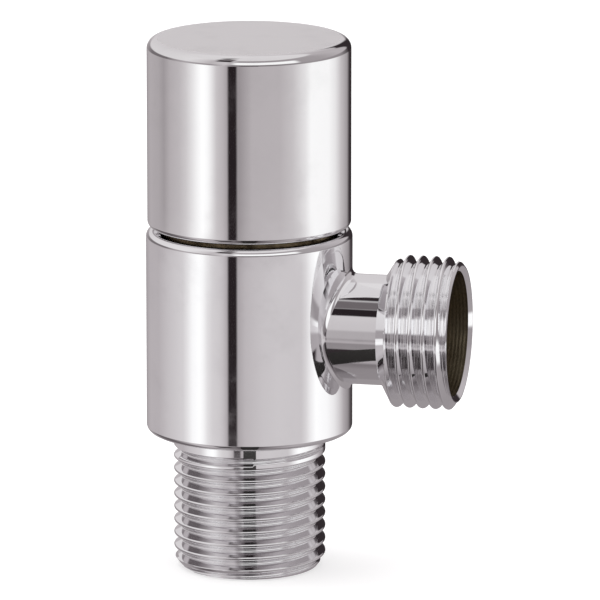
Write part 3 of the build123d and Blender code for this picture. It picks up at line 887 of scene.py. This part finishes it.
    def neck_foot(self, window: Window) -> tuple[Array, Array]:
        """Where the ball that rolls round the neck touches the barrel.

        Its middle is (neck + fillet) from the outlet's axis and (barrel + fillet) from the barrel's.
        """
        reach = self.neck_radius + self.neck_fillet
        return hole_rim(window.angles(self.barrel_radius, self.outlet_height), reach, self.outlet_height,
                        self.barrel_radius + self.neck_fillet)

    def neck(self, angles: Array) -> list[Patch]:
        """The hollow fillet that the rolling ball leaves, and the neck.

        Each column is an arc about the ball's middle, from where it touches the barrel to where it
        touches the neck. Its points are middle - fillet * d, and their normals d, with d turned
        evenly between the two directions by spherical interpolation.
        """
        ball, steps = self.neck_fillet, 8
        reach, around = self.neck_radius + ball, self.barrel_radius + ball
        side, rise = reach * np.cos(angles), reach * np.sin(angles)
        ahead = np.sqrt(around**2 - side**2)
        middle = np.stack([ahead, side, rise + self.outlet_height], axis=-1)
        from_barrel = np.stack([ahead, side, 0.0 * side], axis=-1) / around
        from_neck = np.stack([0.0 * side, np.cos(angles), np.sin(angles)], axis=-1)
        between = np.arccos(np.sum(from_barrel * from_neck, axis=-1))[None, :, None]
        share = np.linspace(0.0, 1.0, steps + 1)[:, None, None]
        direction = (np.sin((1.0 - share) * between) * from_barrel
                     + np.sin(share * between) * from_neck) / np.sin(between)
        fillet = Patch(middle - ball * direction, direction)
        foot, normals = fillet.points[-1], fillet.normals[-1]
        end = np.stack([np.full_like(ahead, self.neck_end), foot[:, 1], foot[:, 2]], axis=-1)
        return [fillet, joining(foot, end, normals, normals)]

    def outlet(self) -> list[Patch]:
        """Neck, threaded spigot, lip, mouth and the passage through to the chamber."""
        outer = self.outer_window().angles(self.barrel_radius, self.outlet_height)
        run = ThreadRun(self.thread, self.neck_end, self.outlet_reach, self.outlet_crest,
                        self.outlet_skin, self.outlet_floor)
        mouth = self.outlet_reach - self.outlet_mouth_depth
        lip = [(self.outlet_lip_radius, self.outlet_reach), (self.outlet_lip_edge, self.outlet_reach),
               (self.outlet_mouth_radius, self.outlet_reach - self.outlet_lip_depth)]
        bore = [lip[-1], (self.outlet_mouth_radius, mouth)]
        patches = self.neck(outer) + [run.patch(outer, 0, Turning.OUTLET, self.outlet_height)]
        patches += outline(lip, 0, outer, Turning.OUTLET, self.outlet_height)
        patches += outline(bore, 1, outer, Turning.OUTLET, self.outlet_height)
        return patches + self.passage(outer, mouth)

    def passage(self, outer: Array, mouth: float) -> list[Patch]:
        """The shoulder in the mouth, the passage behind it, and the chamber's wall round it.

        The shoulder's columns swing from the neck's angles to the chamber window's own on the way in.
        """
        window = Window(0, 30, 40, self.seat_height, self.chamber_top)
        inner = window.angles(self.chamber_radius, self.outlet_height)
        share = np.linspace(0.0, 1.0, 7)[:, None]
        swung = outer[None, :] * (1.0 - share) + inner[None, :] * share
        radius = self.outlet_mouth_radius * (1.0 - share) + self.outlet_bore_radius * share
        shoulder = np.stack([np.full_like(swung, mouth), radius * np.cos(swung),
                             radius * np.sin(swung) + self.outlet_height], axis=-1)
        facing = np.zeros_like(shoulder) + (1.0, 0.0, 0.0)
        rim = hole_rim(inner, self.outlet_bore_radius, self.outlet_height, self.chamber_radius)
        inwards = np.stack([0.0 * inner, -np.cos(inner), -np.sin(inner)], axis=-1)
        back = np.stack([self.chamber_radius * np.cos(rim[0]), self.chamber_radius * np.sin(rim[0]), rim[1]],
                        axis=-1)
        return [
            Patch(shoulder, facing, 1),
            joining(shoulder[-1], back, inwards, inwards, 1),
            window.pierced(round_wall(self.chamber_radius), rim, 1).reversed(),
            window.columns(round_wall(self.chamber_radius), 1).reversed(),
        ]

    def build(self) -> bpy.types.Object:
        """Make the piece in place of its frame node, plated outside and bare inside."""
        piece = make_mesh("valve_body_turned", self.shank() + self.barrel() + self.outlet() + self.waterway())
        piece.data.materials.append(Plate("polished_plate", colour=(0.955, 0.955, 0.965, 1.0)).material())
        piece.data.materials.append(CutMetal(
            "bare_waterway", bright=linear(158, 147, 124), dark=linear(92, 84, 68), stain=linear(112, 72, 54),
            tarnish=0.7, polish=0.34, ring_height=0.010, ring_pitch=0.5, axis=Axis.OUTLET,
            axis_height=self.outlet_height).material())
        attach(piece, "valve")
        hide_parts("valve_body")
        return piece


# ---------------------------------------------------------------- the handle


@dataclass
class Handle:
    """The turning cup: a thick shell, a hub inside it and two holes at the back for the set screw."""

    radius: float = 13.9975
    inner_radius: float = 12.3975
    ceiling: float = 71.3
    top_fillet: float = 1.4
    bottom_fillet: float = 0.8
    hub_radius: float = 9.0
    hub_bottom: float = 62.5
    socket_apothem: float = 5.05
    screw_height: float = 65.15
    plug_hole_radius: float = 2.52
    screw_hole_radius: float = 2.02
    back_step: int = 60
    band: float = 4.0
    bottom: float = field(init=False)
    top: float = field(init=False)

    def __post_init__(self) -> None:
        """Take the two ends from the frame."""
        low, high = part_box("handle_shell")
        self.bottom, self.top = low[2] / MM, high[2] / MM

    def bored(self, window: Window, hole_radius: float, outer_radius: float,
              inner_wall: Callable[[Array], Array], inner_rim: tuple[Array, Array], angles: Array,
              finish: int) -> list[Patch]:
        """Two walls with a round hole through both, and the hole's own wall between them.

        Args:
            window: the part of both walls round the hole.
            hole_radius: the hole's radius.
            outer_radius: the outer wall's radius.
            inner_wall: the inner wall's radius at an azimuth.
            inner_rim: azimuths and heights where the hole meets the inner wall.
            angles: the rim points' angles about the hole's axis.
            finish: the number of the outer wall's finish.

        Returns:
            The patches, with the air outside the outer wall and inside the inner one.
        """
        outer_wall = round_wall(outer_radius)
        outer_rim = hole_rim(angles, hole_radius, self.screw_height, outer_radius)
        outer = window.pierced(outer_wall, outer_rim, finish)
        inner = window.pierced(inner_wall, inner_rim, 2)
        across = np.array([-math.sin(window.middle), math.cos(window.middle), 0.0])
        inwards = -(np.cos(angles)[:, None] * across + np.sin(angles)[:, None] * (0.0, 0.0, 1.0))
        return [
            outer,
            window.columns(outer_wall, finish),
            joining(outer.points[-1], inner.points[-1], inwards, inwards, 2),
            inner.reversed(),
            window.columns(inner_wall, 2).reversed(),
        ]

    def shell(self) -> list[Patch]:
        """The cup's outside, rims and inside, with the plug's hole through its back."""
        angles, low, high = column_angles(), self.screw_height - self.band, self.screw_height + self.band
        window = Window(self.back_step, 14, 12, low, high)
        around = window.angles(self.radius, self.screw_height)
        inner_rim = hole_rim(around, self.plug_hole_radius, self.screw_height, self.inner_radius)
        foot = (self.radius - self.bottom_fillet, self.bottom + self.bottom_fillet)
        crown = (self.radius - self.top_fillet, self.top - self.top_fillet)
        return [
            *outline([(self.inner_radius, self.bottom), (foot[0], self.bottom)], 0, angles),
            turned(rounded(foot, self.bottom_fillet, -90.0, 0.0), angles),
            turned(straight((self.radius, foot[1]), (self.radius, low)), angles),
            *self.bored(window, self.plug_hole_radius, self.radius, round_wall(self.inner_radius),
                        inner_rim, around, 0),
            turned(straight((self.radius, high), (self.radius, crown[1])), angles),
            turned(rounded(crown, self.top_fillet, 0.0, 90.0, 12), angles),
            turned(straight((crown[0], self.top), (0.0, self.top), 6), angles, 1),
            *outline([(self.hub_radius, self.ceiling), (self.inner_radius, self.ceiling),
                      (self.inner_radius, high)], 2, angles),
            *outline([(self.inner_radius, low), (self.inner_radius, self.bottom)], 2, angles),
        ]

    def hub(self) -> list[Patch]:
        """The hub, its six-sided socket for the adapter, and the set screw's hole."""
        angles = column_angles()
        window = Window(self.back_step, 20, 16, self.hub_bottom, self.ceiling)
        around = window.angles(self.hub_radius, self.screw_height)
        across = self.screw_hole_radius * np.cos(around)
        inner_rim = (np.arctan(across / self.socket_apothem),
                     self.screw_height + self.screw_hole_radius * np.sin(around))
        socket = six_sided(self.socket_apothem)
        hexagon = socket(angles - window.middle)
        edge = np.stack([hexagon * np.cos(angles), hexagon * np.sin(angles), 0.0 * angles], axis=-1)
        rim = np.stack([np.cos(angles), np.sin(angles), 0.0 * angles], axis=-1) * self.hub_radius
        down = np.zeros_like(edge) + (0.0, 0.0, -1.0)
        low, high = (0.0, 0.0, self.hub_bottom), (0.0, 0.0, self.ceiling)
        return [
            *self.bored(window, self.screw_hole_radius, self.hub_radius, socket, inner_rim, around, 2),
            joining(edge + low, rim + low, down, down, 2),
            joining(0.0 * edge + high, edge + high, down, down, 2),
        ]

    def build(self) -> bpy.types.Object:
        """Make the piece in place of its frame node: polished sides, satin top, duller inside."""
        piece = make_mesh("handle_turned", self.shell() + self.hub())
        piece.data.materials.append(Plate("polished_handle", colour=(0.905, 0.902, 0.908, 1.0)).material())
        piece.data.materials.append(Plate("satin_top", colour=(0.945, 0.94, 0.942, 1.0), polish=0.5,
                                          smudge=0.08, ring_height=0.004, ring_pitch=0.12).material())
        piece.data.materials.append(Plate("cast_inside", colour=linear(196, 194, 192), polish=0.38,
                                          smudge=0.12).material())
        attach(piece, "handle")
        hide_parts("handle_shell")
        return piece


# ---------------------------------------------------------------- the strainer


@dataclass
class StrainerCup:
    """Woven wire cup in the inlet: upright wires and hoops round it, crossed wires over its end."""

    wire_radius: float = 0.085
    uprights: int = 48
    hoops: int = 22
    end_wires: int = 25
    sides: int = 6
    rim_height: float = 0.9
    rim_wall: float = 0.28
    radius: float = field(init=False)
    bottom: float = field(init=False)
    top: float = field(init=False)

    def __post_init__(self) -> None:
        """Take the cup's size from the frame."""
        low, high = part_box("strainer_mesh")
        self.radius, self.bottom, self.top = high[0] / MM, low[2] / MM, high[2] / MM

    def wires(self, paths: Array, across: Array, closed: bool = False) -> list[Patch]:
        """Round wires along many paths at once: path + radius (across cos a + (along x across) sin a).

        Args:
            paths: points of every wire, wires by points by 3.
            across: a unit vector square to the wire at each point.
            closed: whether the wires are hoops. Open wires taper to a point at both ends.

        Returns:
            One patch for each wire.
        """
        along = np.gradient(paths, axis=1)
        if closed:
            along[:, 0] = along[:, -1] = paths[:, 1] - paths[:, -2]
        along /= np.linalg.norm(along, axis=-1, keepdims=True)
        across = across - along * np.sum(across * along, axis=-1, keepdims=True)
        across /= np.linalg.norm(across, axis=-1, keepdims=True)
        side = np.cross(along, across)
        angle = np.linspace(0.0, 2.0 * math.pi, self.sides + 1)[:, None]
        normals = across[:, :, None] * np.cos(angle) + side[:, :, None] * np.sin(angle)
        thickness = np.full(paths.shape[1], self.wire_radius)
        if not closed:
            thickness[[0, -1]] = 0.0
        points = paths[:, :, None] + normals * thickness[None, :, None, None]
        return [Patch(p, n) for p, n in zip(points, normals)]

    def cup_wall(self) -> list[Patch]:
        """Uprights and hoops, each going over and under the other: radius + wire cos(n pi + k phi)."""
        weave = self.radius - 2.1 * self.wire_radius
        height = np.linspace(self.bottom + 0.1, self.top - 0.2, 4 * self.hoops + 1)
        phi = np.arange(self.uprights) * 2.0 * math.pi / self.uprights
        share = (height - height[0]) / (height[-1] - height[0]) * self.hoops * math.pi
        out = weave + self.wire_radius * np.cos(share[None, :] + np.arange(self.uprights)[:, None] * math.pi)
        radial = np.stack([np.cos(phi), np.sin(phi), 0.0 * phi], axis=-1)[:, None]
        uprights = radial * out[:, :, None] + (0.0, 0.0, 1.0) * height[None, :, None]
        turn = np.linspace(0.0, 2.0 * math.pi, 4 * self.uprights + 1)
        level = np.linspace(height[0], height[-1], self.hoops + 1)[1:-1]
        number = np.arange(1, self.hoops)
        swing = weave - self.wire_radius * np.cos(
            turn[None, :] * self.uprights / 2.0 + number[:, None] * math.pi)
        around = np.stack([np.cos(turn), np.sin(turn), 0.0 * turn], axis=-1)[None]
        hoops = around * swing[:, :, None] + (0.0, 0.0, 1.0) * level[:, None, None]
        return (self.wires(uprights, np.broadcast_to(radial, uprights.shape))
                + self.wires(hoops, np.broadcast_to(around, hoops.shape), closed=True))

    def cup_end(self) -> list[Patch]:
        """Two crossed sets of wires over the end, each as long as the circle is wide there."""
        reach = self.radius - 2.0 * self.wire_radius
        offset = np.linspace(-1.0, 1.0, self.end_wires + 2)[1:-1] * reach
        spacing = offset[1] - offset[0]
        half = np.sqrt(reach**2 - offset**2)
        along = np.linspace(-1.0, 1.0, 2 * self.end_wires)[None, :] * half[:, None]
        beside = np.broadcast_to(offset[:, None], along.shape)
        number = np.arange(self.end_wires)[:, None]
        middle = self.top - 2.2 * self.wire_radius
        lift = self.wire_radius * np.cos(along / spacing * math.pi + number * math.pi)
        upright = np.zeros(along.shape + (3,)) + (0.0, 0.0, 1.0)
        return (self.wires(np.stack([along, beside, middle + lift], axis=-1), upright)
                + self.wires(np.stack([beside, along, middle - lift], axis=-1), upright))

    def rims(self) -> list[Patch]:
        """A plain band round the open end and another round the closed one, each a square ring."""
        patches = []
        for low, wall_width in ((self.bottom, self.rim_wall), (self.top - 0.45, self.rim_wall)):
            high = low + (self.rim_height if low == self.bottom else 0.45)
            inner = self.radius - wall_width
            loop = [(inner, low), (self.radius, low), (self.radius, high), (inner, high), (inner, low)]
            patches += outline(loop, 0, column_angles()[::2])
        return patches

    def build(self) -> bpy.types.Object:
        """Make the piece in place of its frame node."""
        piece = make_mesh("strainer_weave", self.cup_wall() + self.cup_end() + self.rims())
        piece.data.materials.append(CutMetal(
            "drawn_wire", bright=linear(196, 198, 200), dark=linear(150, 150, 150),
            stain=linear(120, 112, 100), tarnish=0.3, polish=0.2, ring_height=0.0005).material())
        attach(piece, "valve")
        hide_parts("strainer_mesh")
        return piece


# ---------------------------------------------------------------- pieces that keep their frame shape


BRASS = CutMetal("turned_brass", tarnish=0.45)
# Brass darkened overall so that the housing's flange, seen in the gap under the handle, shows as a dark line:
# painted shade for that gap, on top of a real heavy tarnish mottle.
GAP_SHADE_BRASS = CutMetal("brass_darkened_for_gap_shade", bright=linear(138, 124, 98), dark=linear(64, 54, 42),
                       stain=linear(70, 44, 32), tarnish=0.8, polish=0.3)
SCREW_STEEL = CutMetal("zinc_steel", bright=linear(206, 208, 214), dark=linear(164, 162, 158),
                       stain=linear(150, 130, 92), tarnish=0.35, polish=0.24, ring_pitch=0.16)
SPRING_STEEL = CutMetal("spring_steel", bright=linear(176, 178, 182), dark=linear(112, 112, 114),
                        stain=linear(92, 84, 76), tarnish=0.5, polish=0.28, ring_pitch=0.3)
STAINLESS = CutMetal("stainless_ring", bright=linear(204, 203, 200), dark=linear(176, 174, 170),
                     stain=linear(150, 146, 138), tarnish=0.25, polish=0.2, ring_pitch=0.12)
CERAMIC = Moulded("lapped_ceramic", colour=linear(238, 235, 228), shade=linear(226, 221, 211),
                  polish=0.16, grain=0.0006, cloud_size=2.0, dust=0.02, see_in=0.15)
RUBBER = Moulded("black_rubber", colour=linear(30, 30, 31), shade=linear(42, 41, 40), polish=0.5,
                 grain=0.006, cloud_size=1.2, dust=0.3)
NYLON = Moulded("white_nylon", colour=linear(232, 230, 222), shade=linear(218, 214, 202), polish=0.42,
                grain=0.004, dust=0.06, see_in=0.25)
BLACK_PLASTIC = Moulded("black_plastic", colour=linear(34, 35, 37), shade=linear(48, 49, 51), polish=0.38,
                        grain=0.005, cloud_size=2.2, dust=0.15)
GREY_PLASTIC = Moulded("grey_plastic", colour=linear(150, 152, 154), shade=linear(138, 140, 143),
                       polish=0.36, grain=0.003, cloud_size=1.6, dust=0.05)

NODE_FINISHES: dict[str, Finish] = {
    "set_screw_plug": GREY_PLASTIC,
    "handle_set_screw": SCREW_STEEL,
    "adapter_screw": SCREW_STEEL,
    "retaining_clip": SPRING_STEEL,
    "spline_adapter": BRASS,
    # The housing's darker brass is painted shade for the gap under the handle.
    "cartridge_housing": GAP_SHADE_BRASS,
    "spindle": BRASS,
    "thrust_washer": NYLON,
    "glide_washer": NYLON,
    "housing_o_ring": RUBBER,
    "seat_seal": RUBBER,
    "spindle_o_ring_lower": RUBBER,
    "spindle_o_ring_upper": RUBBER,
    "seal_support_ring": STAINLESS,
    "fixed_disc": CERAMIC,
    "moving_disc": CERAMIC,
    "strainer_frame": BLACK_PLASTIC,
}


@dataclass
class Cartridge:
    """The pieces inside, which keep their frame shapes and only get their finishes."""

    finishes: dict[str, Finish] = field(default_factory=lambda: dict(NODE_FINISHES))

    def dress(self) -> list[bpy.types.Object]:
        """Give each node its finish, made once for all the nodes that share it."""
        made: dict[str, bpy.types.Material] = {}
        dressed = []
        for name, finish in self.finishes.items():
            if finish.name not in made:
                made[finish.name] = finish.material()
            holder = frame["nodes"][name]
            for piece in [holder, *holder.children_recursive]:
                if piece.type != "MESH":
                    continue
                for slot in piece.material_slots:
                    slot.material = made[finish.name]
                if not piece.material_slots:
                    piece.data.materials.append(made[finish.name])
                dressed.append(piece)
        return dressed


# ---------------------------------------------------------------- the studio


@dataclass(frozen=True)
class Belt:
    """A belt of the surround, from one rise to the next belt's, with its levels by azimuth in degrees."""

    rise: float
    soft: float
    levels: tuple[tuple[float, float], ...]


@dataclass(frozen=True)
class Panel:
    """A bright panel or a dark gap on the belts: its edges by azimuth in degrees and by rise."""

    azimuth: tuple[float, float]
    rise: tuple[float, float]
    level: float
    soft: tuple[float, float] = (4.0, 0.03)


@dataclass
class Studio:
    """Camera, floor and a soft surround of pale panels with dark gaps, as for tableware.

    Azimuth is 0 towards the camera and positive to the camera's right. Rise is the upward part of a
    direction. Levels are the display levels, 0 to 255, at which plate shows each part.
    """

    place: tuple[float, float, float] = (0.21230, -0.92823, 0.25243)
    looking: tuple[float, float, float] = (-0.21052, 0.95242, -0.22039)
    lens: float = 425.6
    sensor: float = 36.0
    facing: float = -77.12
    reflectance: float = 0.93
    white: float = 1.06
    violet: tuple[float, float] = (6.0, 3.5)
    violet_fade: float = 75.0
    floor_size: float = 6.0
    floor_gap: float = 1e-4
    floor_glow: float = 0.6
    flag_reach: tuple[float, float] = (0.014, 0.086)
    flag_half_angle: float = 9.0
    flag_lift: float = 0.0004
    lamp_size: float = 2.4
    lamp_power: float = 38.0
    lamp_height: float = 2.2
    belts: tuple[Belt, ...] = (
        Belt(-1.0, 0.02, ((-180, 140), (-60, 138), (-25, 100), (20, 100), (60, 122), (180, 138))),
        Belt(-0.88, 0.03, ((-180, 150), (-150, 150), (-134, 98), (-106, 98), (-90, 140), (-70, 192),
                           (-50, 172), (-34, 165), (-15, 92), (12, 92), (28, 132), (60, 170),
                           (95, 155), (130, 150), (180, 150))),
        Belt(-0.31, 0.03, ((-180, 135), (-162, 165), (-146, 178), (-122, 178), (-105, 192), (-92, 200),
                           (-80, 208), (-74, 224), (-67, 246), (-58, 254), (-53, 244), (-48, 222),
                           (-42, 208), (-34, 202), (-29, 190), (-25, 170), (-12, 168), (-5, 184),
                           (15, 196), (32, 200), (60, 198), (66, 212), (72, 234), (80, 253), (97, 246),
                           (110, 230), (120, 207), (131, 172), (145, 142), (154, 80), (176, 55))),
        Belt(-0.2125, 0.004, ((-180, 135), (-162, 165), (-148, 176), (-124, 172), (-112, 160), (-101, 180),
                              (-86, 190), (-76, 206), (-68, 227), (-60, 249), (-54, 255), (-48, 253),
                              (-44, 238), (-37, 200), (-29, 184), (-24, 164), (-11, 152), (-5, 166),
                              (3, 182), (35, 184), (50, 199), (66, 230), (74, 252), (101, 250),
                              (114, 233), (127, 194), (145, 158), (154, 58), (176, 50))),
        Belt(-0.13, 0.03, ((-180, 205), (-165, 160), (-140, 115), (-105, 112), (-90, 160), (-75, 172),
                           (-60, 158), (-45, 150), (-28, 190), (-18, 122), (0, 120), (25, 124),
                           (45, 138), (75, 155), (125, 140), (148, 55), (170, 65), (180, 200))),
        Belt(0.13, 0.05, ((-180, 205), (-150, 212), (-75, 222), (-60, 208), (-45, 185), (-27, 200),
                          (-12, 150), (10, 150), (45, 155), (95, 162), (125, 182), (146, 180),
                          (180, 205))),
        Belt(0.80, 0.03, ((-180, 218), (0, 214), (180, 218))))
    panels: tuple[Panel, ...] = (
        Panel((-24.0, -13.8), (-0.2440, -0.165), 38, (1.6, 0.002)),
        Panel((-18.0, 58.0), (0.14, 0.56), 250, (5.0, 0.04)),
        Panel((-44.0, -23.0), (0.61, 0.79), 38, (3.0, 0.02)),
        Panel((-52.0, -23.0), (0.79, 0.93), 105, (4.0, 0.02)),
        Panel((-72.0, -45.0), (0.94, 0.99), 45, (4.0, 0.01)),
        Panel((-44.0, -22.0), (-0.80, -0.52), 48, (3.0, 0.02)),
        Panel((-10.0, 10.0), (-0.95, -0.30), 34, (2.5, 0.02)),
        Panel((-10.0, 10.0), (-0.12, 0.00), 62, (2.5, 0.02)),
        Panel((148.0, 170.0), (-0.16, 0.50), 48, (3.0, 0.03)))

    def camera(self) -> bpy.types.Object:
        """A long lens a metre away, looking a little down."""
        data = bpy.data.cameras.new("camera")
        data.lens, data.sensor_width = self.lens, self.sensor
        data.clip_start, data.clip_end = 0.01, 50.0
        camera = bpy.data.objects.new("camera", data)
        camera.location = self.place
        camera.rotation_euler = Vector(self.looking).to_track_quat("-Z", "Y").to_euler()
        bpy.context.scene.collection.objects.link(camera)
        bpy.context.scene.camera = camera
        bpy.context.scene.view_settings.view_transform = "Standard"
        return camera

    def floor(self) -> bpy.types.Object:
        """A wide pale floor, left out of mirror reflections and clear from below, with a faint glow."""
        half, low = self.floor_size / 2.0, -self.floor_gap
        mesh = bpy.data.meshes.new("floor")
        mesh.from_pydata([(-half, -half, low), (half, -half, low), (half, half, low), (-half, half, low)], [],
                         [(0, 1, 2, 3)])
        floor = bpy.data.objects.new("floor", mesh)
        material = bpy.data.materials.new("floor_paper")
        material.use_nodes = True
        graph = Graph(material.node_tree)
        paper = graph.node("BsdfPrincipled", {"Base Color": (0.55, 0.55, 0.55, 1.0), "Roughness": 0.9,
                                              "Emission Color": (1.0, 1.0, 1.0, 1.0),
                                              "Emission Strength": self.floor_glow})
        below = graph.node("NewGeometry").outputs["Backfacing"]
        clear = graph.node("BsdfTransparent").outputs[0]
        both = graph.node("MixShader", {0: below, 1: paper.outputs[0], 2: clear})
        graph.node("OutputMaterial", {"Surface": both.outputs[0]})
        mesh.materials.append(material)
        floor.visible_glossy = False
        bpy.context.scene.collection.objects.link(floor)
        return floor

    def surround(self) -> bpy.types.World:
        """The belts and panels as a world, told apart by each ray's azimuth and rise."""
        world = bpy.data.worlds.new("surround")
        bpy.context.scene.world = world
        world.use_nodes = True
        graph = Graph(world.node_tree)
        ray = graph.node("TexCoord").outputs["Generated"]
        turn = math.radians(self.facing)
        toward, right = (math.cos(turn), math.sin(turn), 0.0), (-math.sin(turn), math.cos(turn), 0.0)
        parts = [graph.node("VectorMath", {0: ray, 1: axis}, operation="DOT_PRODUCT")
                 for axis in (toward, right, (0.0, 0.0, 1.0))]
        ahead, side, rise = (part.outputs["Value"] for part in parts)
        azimuth = graph.maths("MULTIPLY", graph.maths("ARCTAN2", side, ahead), 180.0 / math.pi)
        share = graph.maths("MULTIPLY_ADD", azimuth, 1.0 / 360.0, 0.5)
        tone = None
        for belt in self.belts:
            ramp = self.ramp(graph, share, belt)
            step = graph.spread(rise, belt.rise - belt.soft, belt.rise + belt.soft)
            tone = ramp if tone is None else graph.blend(step, tone, ramp)
        for panel in self.panels:
            inside = graph.maths("MULTIPLY", graph.band(azimuth, *panel.azimuth, panel.soft[0]),
                                 graph.band(rise, *panel.rise, panel.soft[1]))
            tone = graph.blend(inside, tone, self.light(panel.level))
        shade = graph.node("Background", {"Color": tone, "Strength": 1.0})
        graph.node("OutputWorld", {"Surface": shade.outputs[0]})
        return world

    def ramp(self, graph: Graph, share: bpy.types.NodeSocket, belt: Belt) -> bpy.types.NodeSocket:
        """A belt's light by the share of a full turn from behind."""
        ramp = graph.node("ValToRGB", {0: share})
        elements = ramp.color_ramp.elements
        while len(elements) < len(belt.levels):
            elements.new(1.0)
        for element, (angle, level) in zip(elements, belt.levels):
            element.position = (angle + 180.0) / 360.0
            element.color = self.light(level)
        return ramp.outputs[0]

    def light(self, level: float) -> tuple[float, float, float, float]:
        """The light that plate shows at a level, faintly violet in the greys; a full 255 is past white."""
        tint = min(1.0, (255.0 - level) / self.violet_fade)
        less_green, less_blue = self.violet
        red, green, blue, _ = linear(level, level - less_green * tint, level - less_blue * tint)
        share = (self.white if level > 254 else 1.0) / self.reflectance
        return red * share, green * share, blue * share, 1.0

    def flag(self) -> bpy.types.Object:
        """A dark card laid in front of the inlet, seen only in mirror reflections."""
        near, far = self.flag_reach
        half = self.flag_half_angle
        corners = []
        for reach, angle in ((near, -half), (near, half), (far, half), (far, -half)):
            turn = math.radians(self.facing + angle)
            corners.append((reach * math.cos(turn), reach * math.sin(turn), self.flag_lift))
        mesh = bpy.data.meshes.new("flag")
        mesh.from_pydata(corners, [], [(0, 1, 2, 3)])
        flag = bpy.data.objects.new("flag", mesh)
        material = bpy.data.materials.new("flag_card")
        material.use_nodes = True
        graph = Graph(material.node_tree)
        card = graph.node("BsdfPrincipled", {"Base Color": (0.012, 0.011, 0.010, 1.0), "Roughness": 0.9})
        graph.node("OutputMaterial", {"Surface": card.outputs[0]})
        mesh.materials.append(material)
        flag.visible_camera = flag.visible_diffuse = flag.visible_shadow = False
        bpy.context.scene.collection.objects.link(flag)
        return flag

    def lamp(self) -> bpy.types.Object:
        """A large soft lamp overhead for the floor, unseen in mirror reflections."""
        data = bpy.data.lights.new("overhead", "AREA")
        data.shape, data.size, data.energy = "DISK", self.lamp_size, self.lamp_power
        lamp = bpy.data.objects.new("overhead", data)
        lamp.location = (0.0, 0.0, self.lamp_height)
        lamp.visible_glossy = False
        bpy.context.scene.collection.objects.link(lamp)
        return lamp


def main() -> None:
    """Build the studio and every piece in order."""
    logging.basicConfig(level=logging.INFO, format="%(message)s")
    studio = Studio()
    for part in (studio.camera(), studio.floor(), studio.flag(), studio.surround(), studio.lamp()):
        log.info("studio: %s", part.name)
    for assembly in (ValveBody(), Handle(), StrainerCup()):
        piece = assembly.build()
        log.info("%s: %d faces", piece.name, len(piece.data.polygons))
    for piece in Cartridge().dress():
        log.info("%s keeps its frame shape", piece.name)


if __name__ == "__main__":
    main()
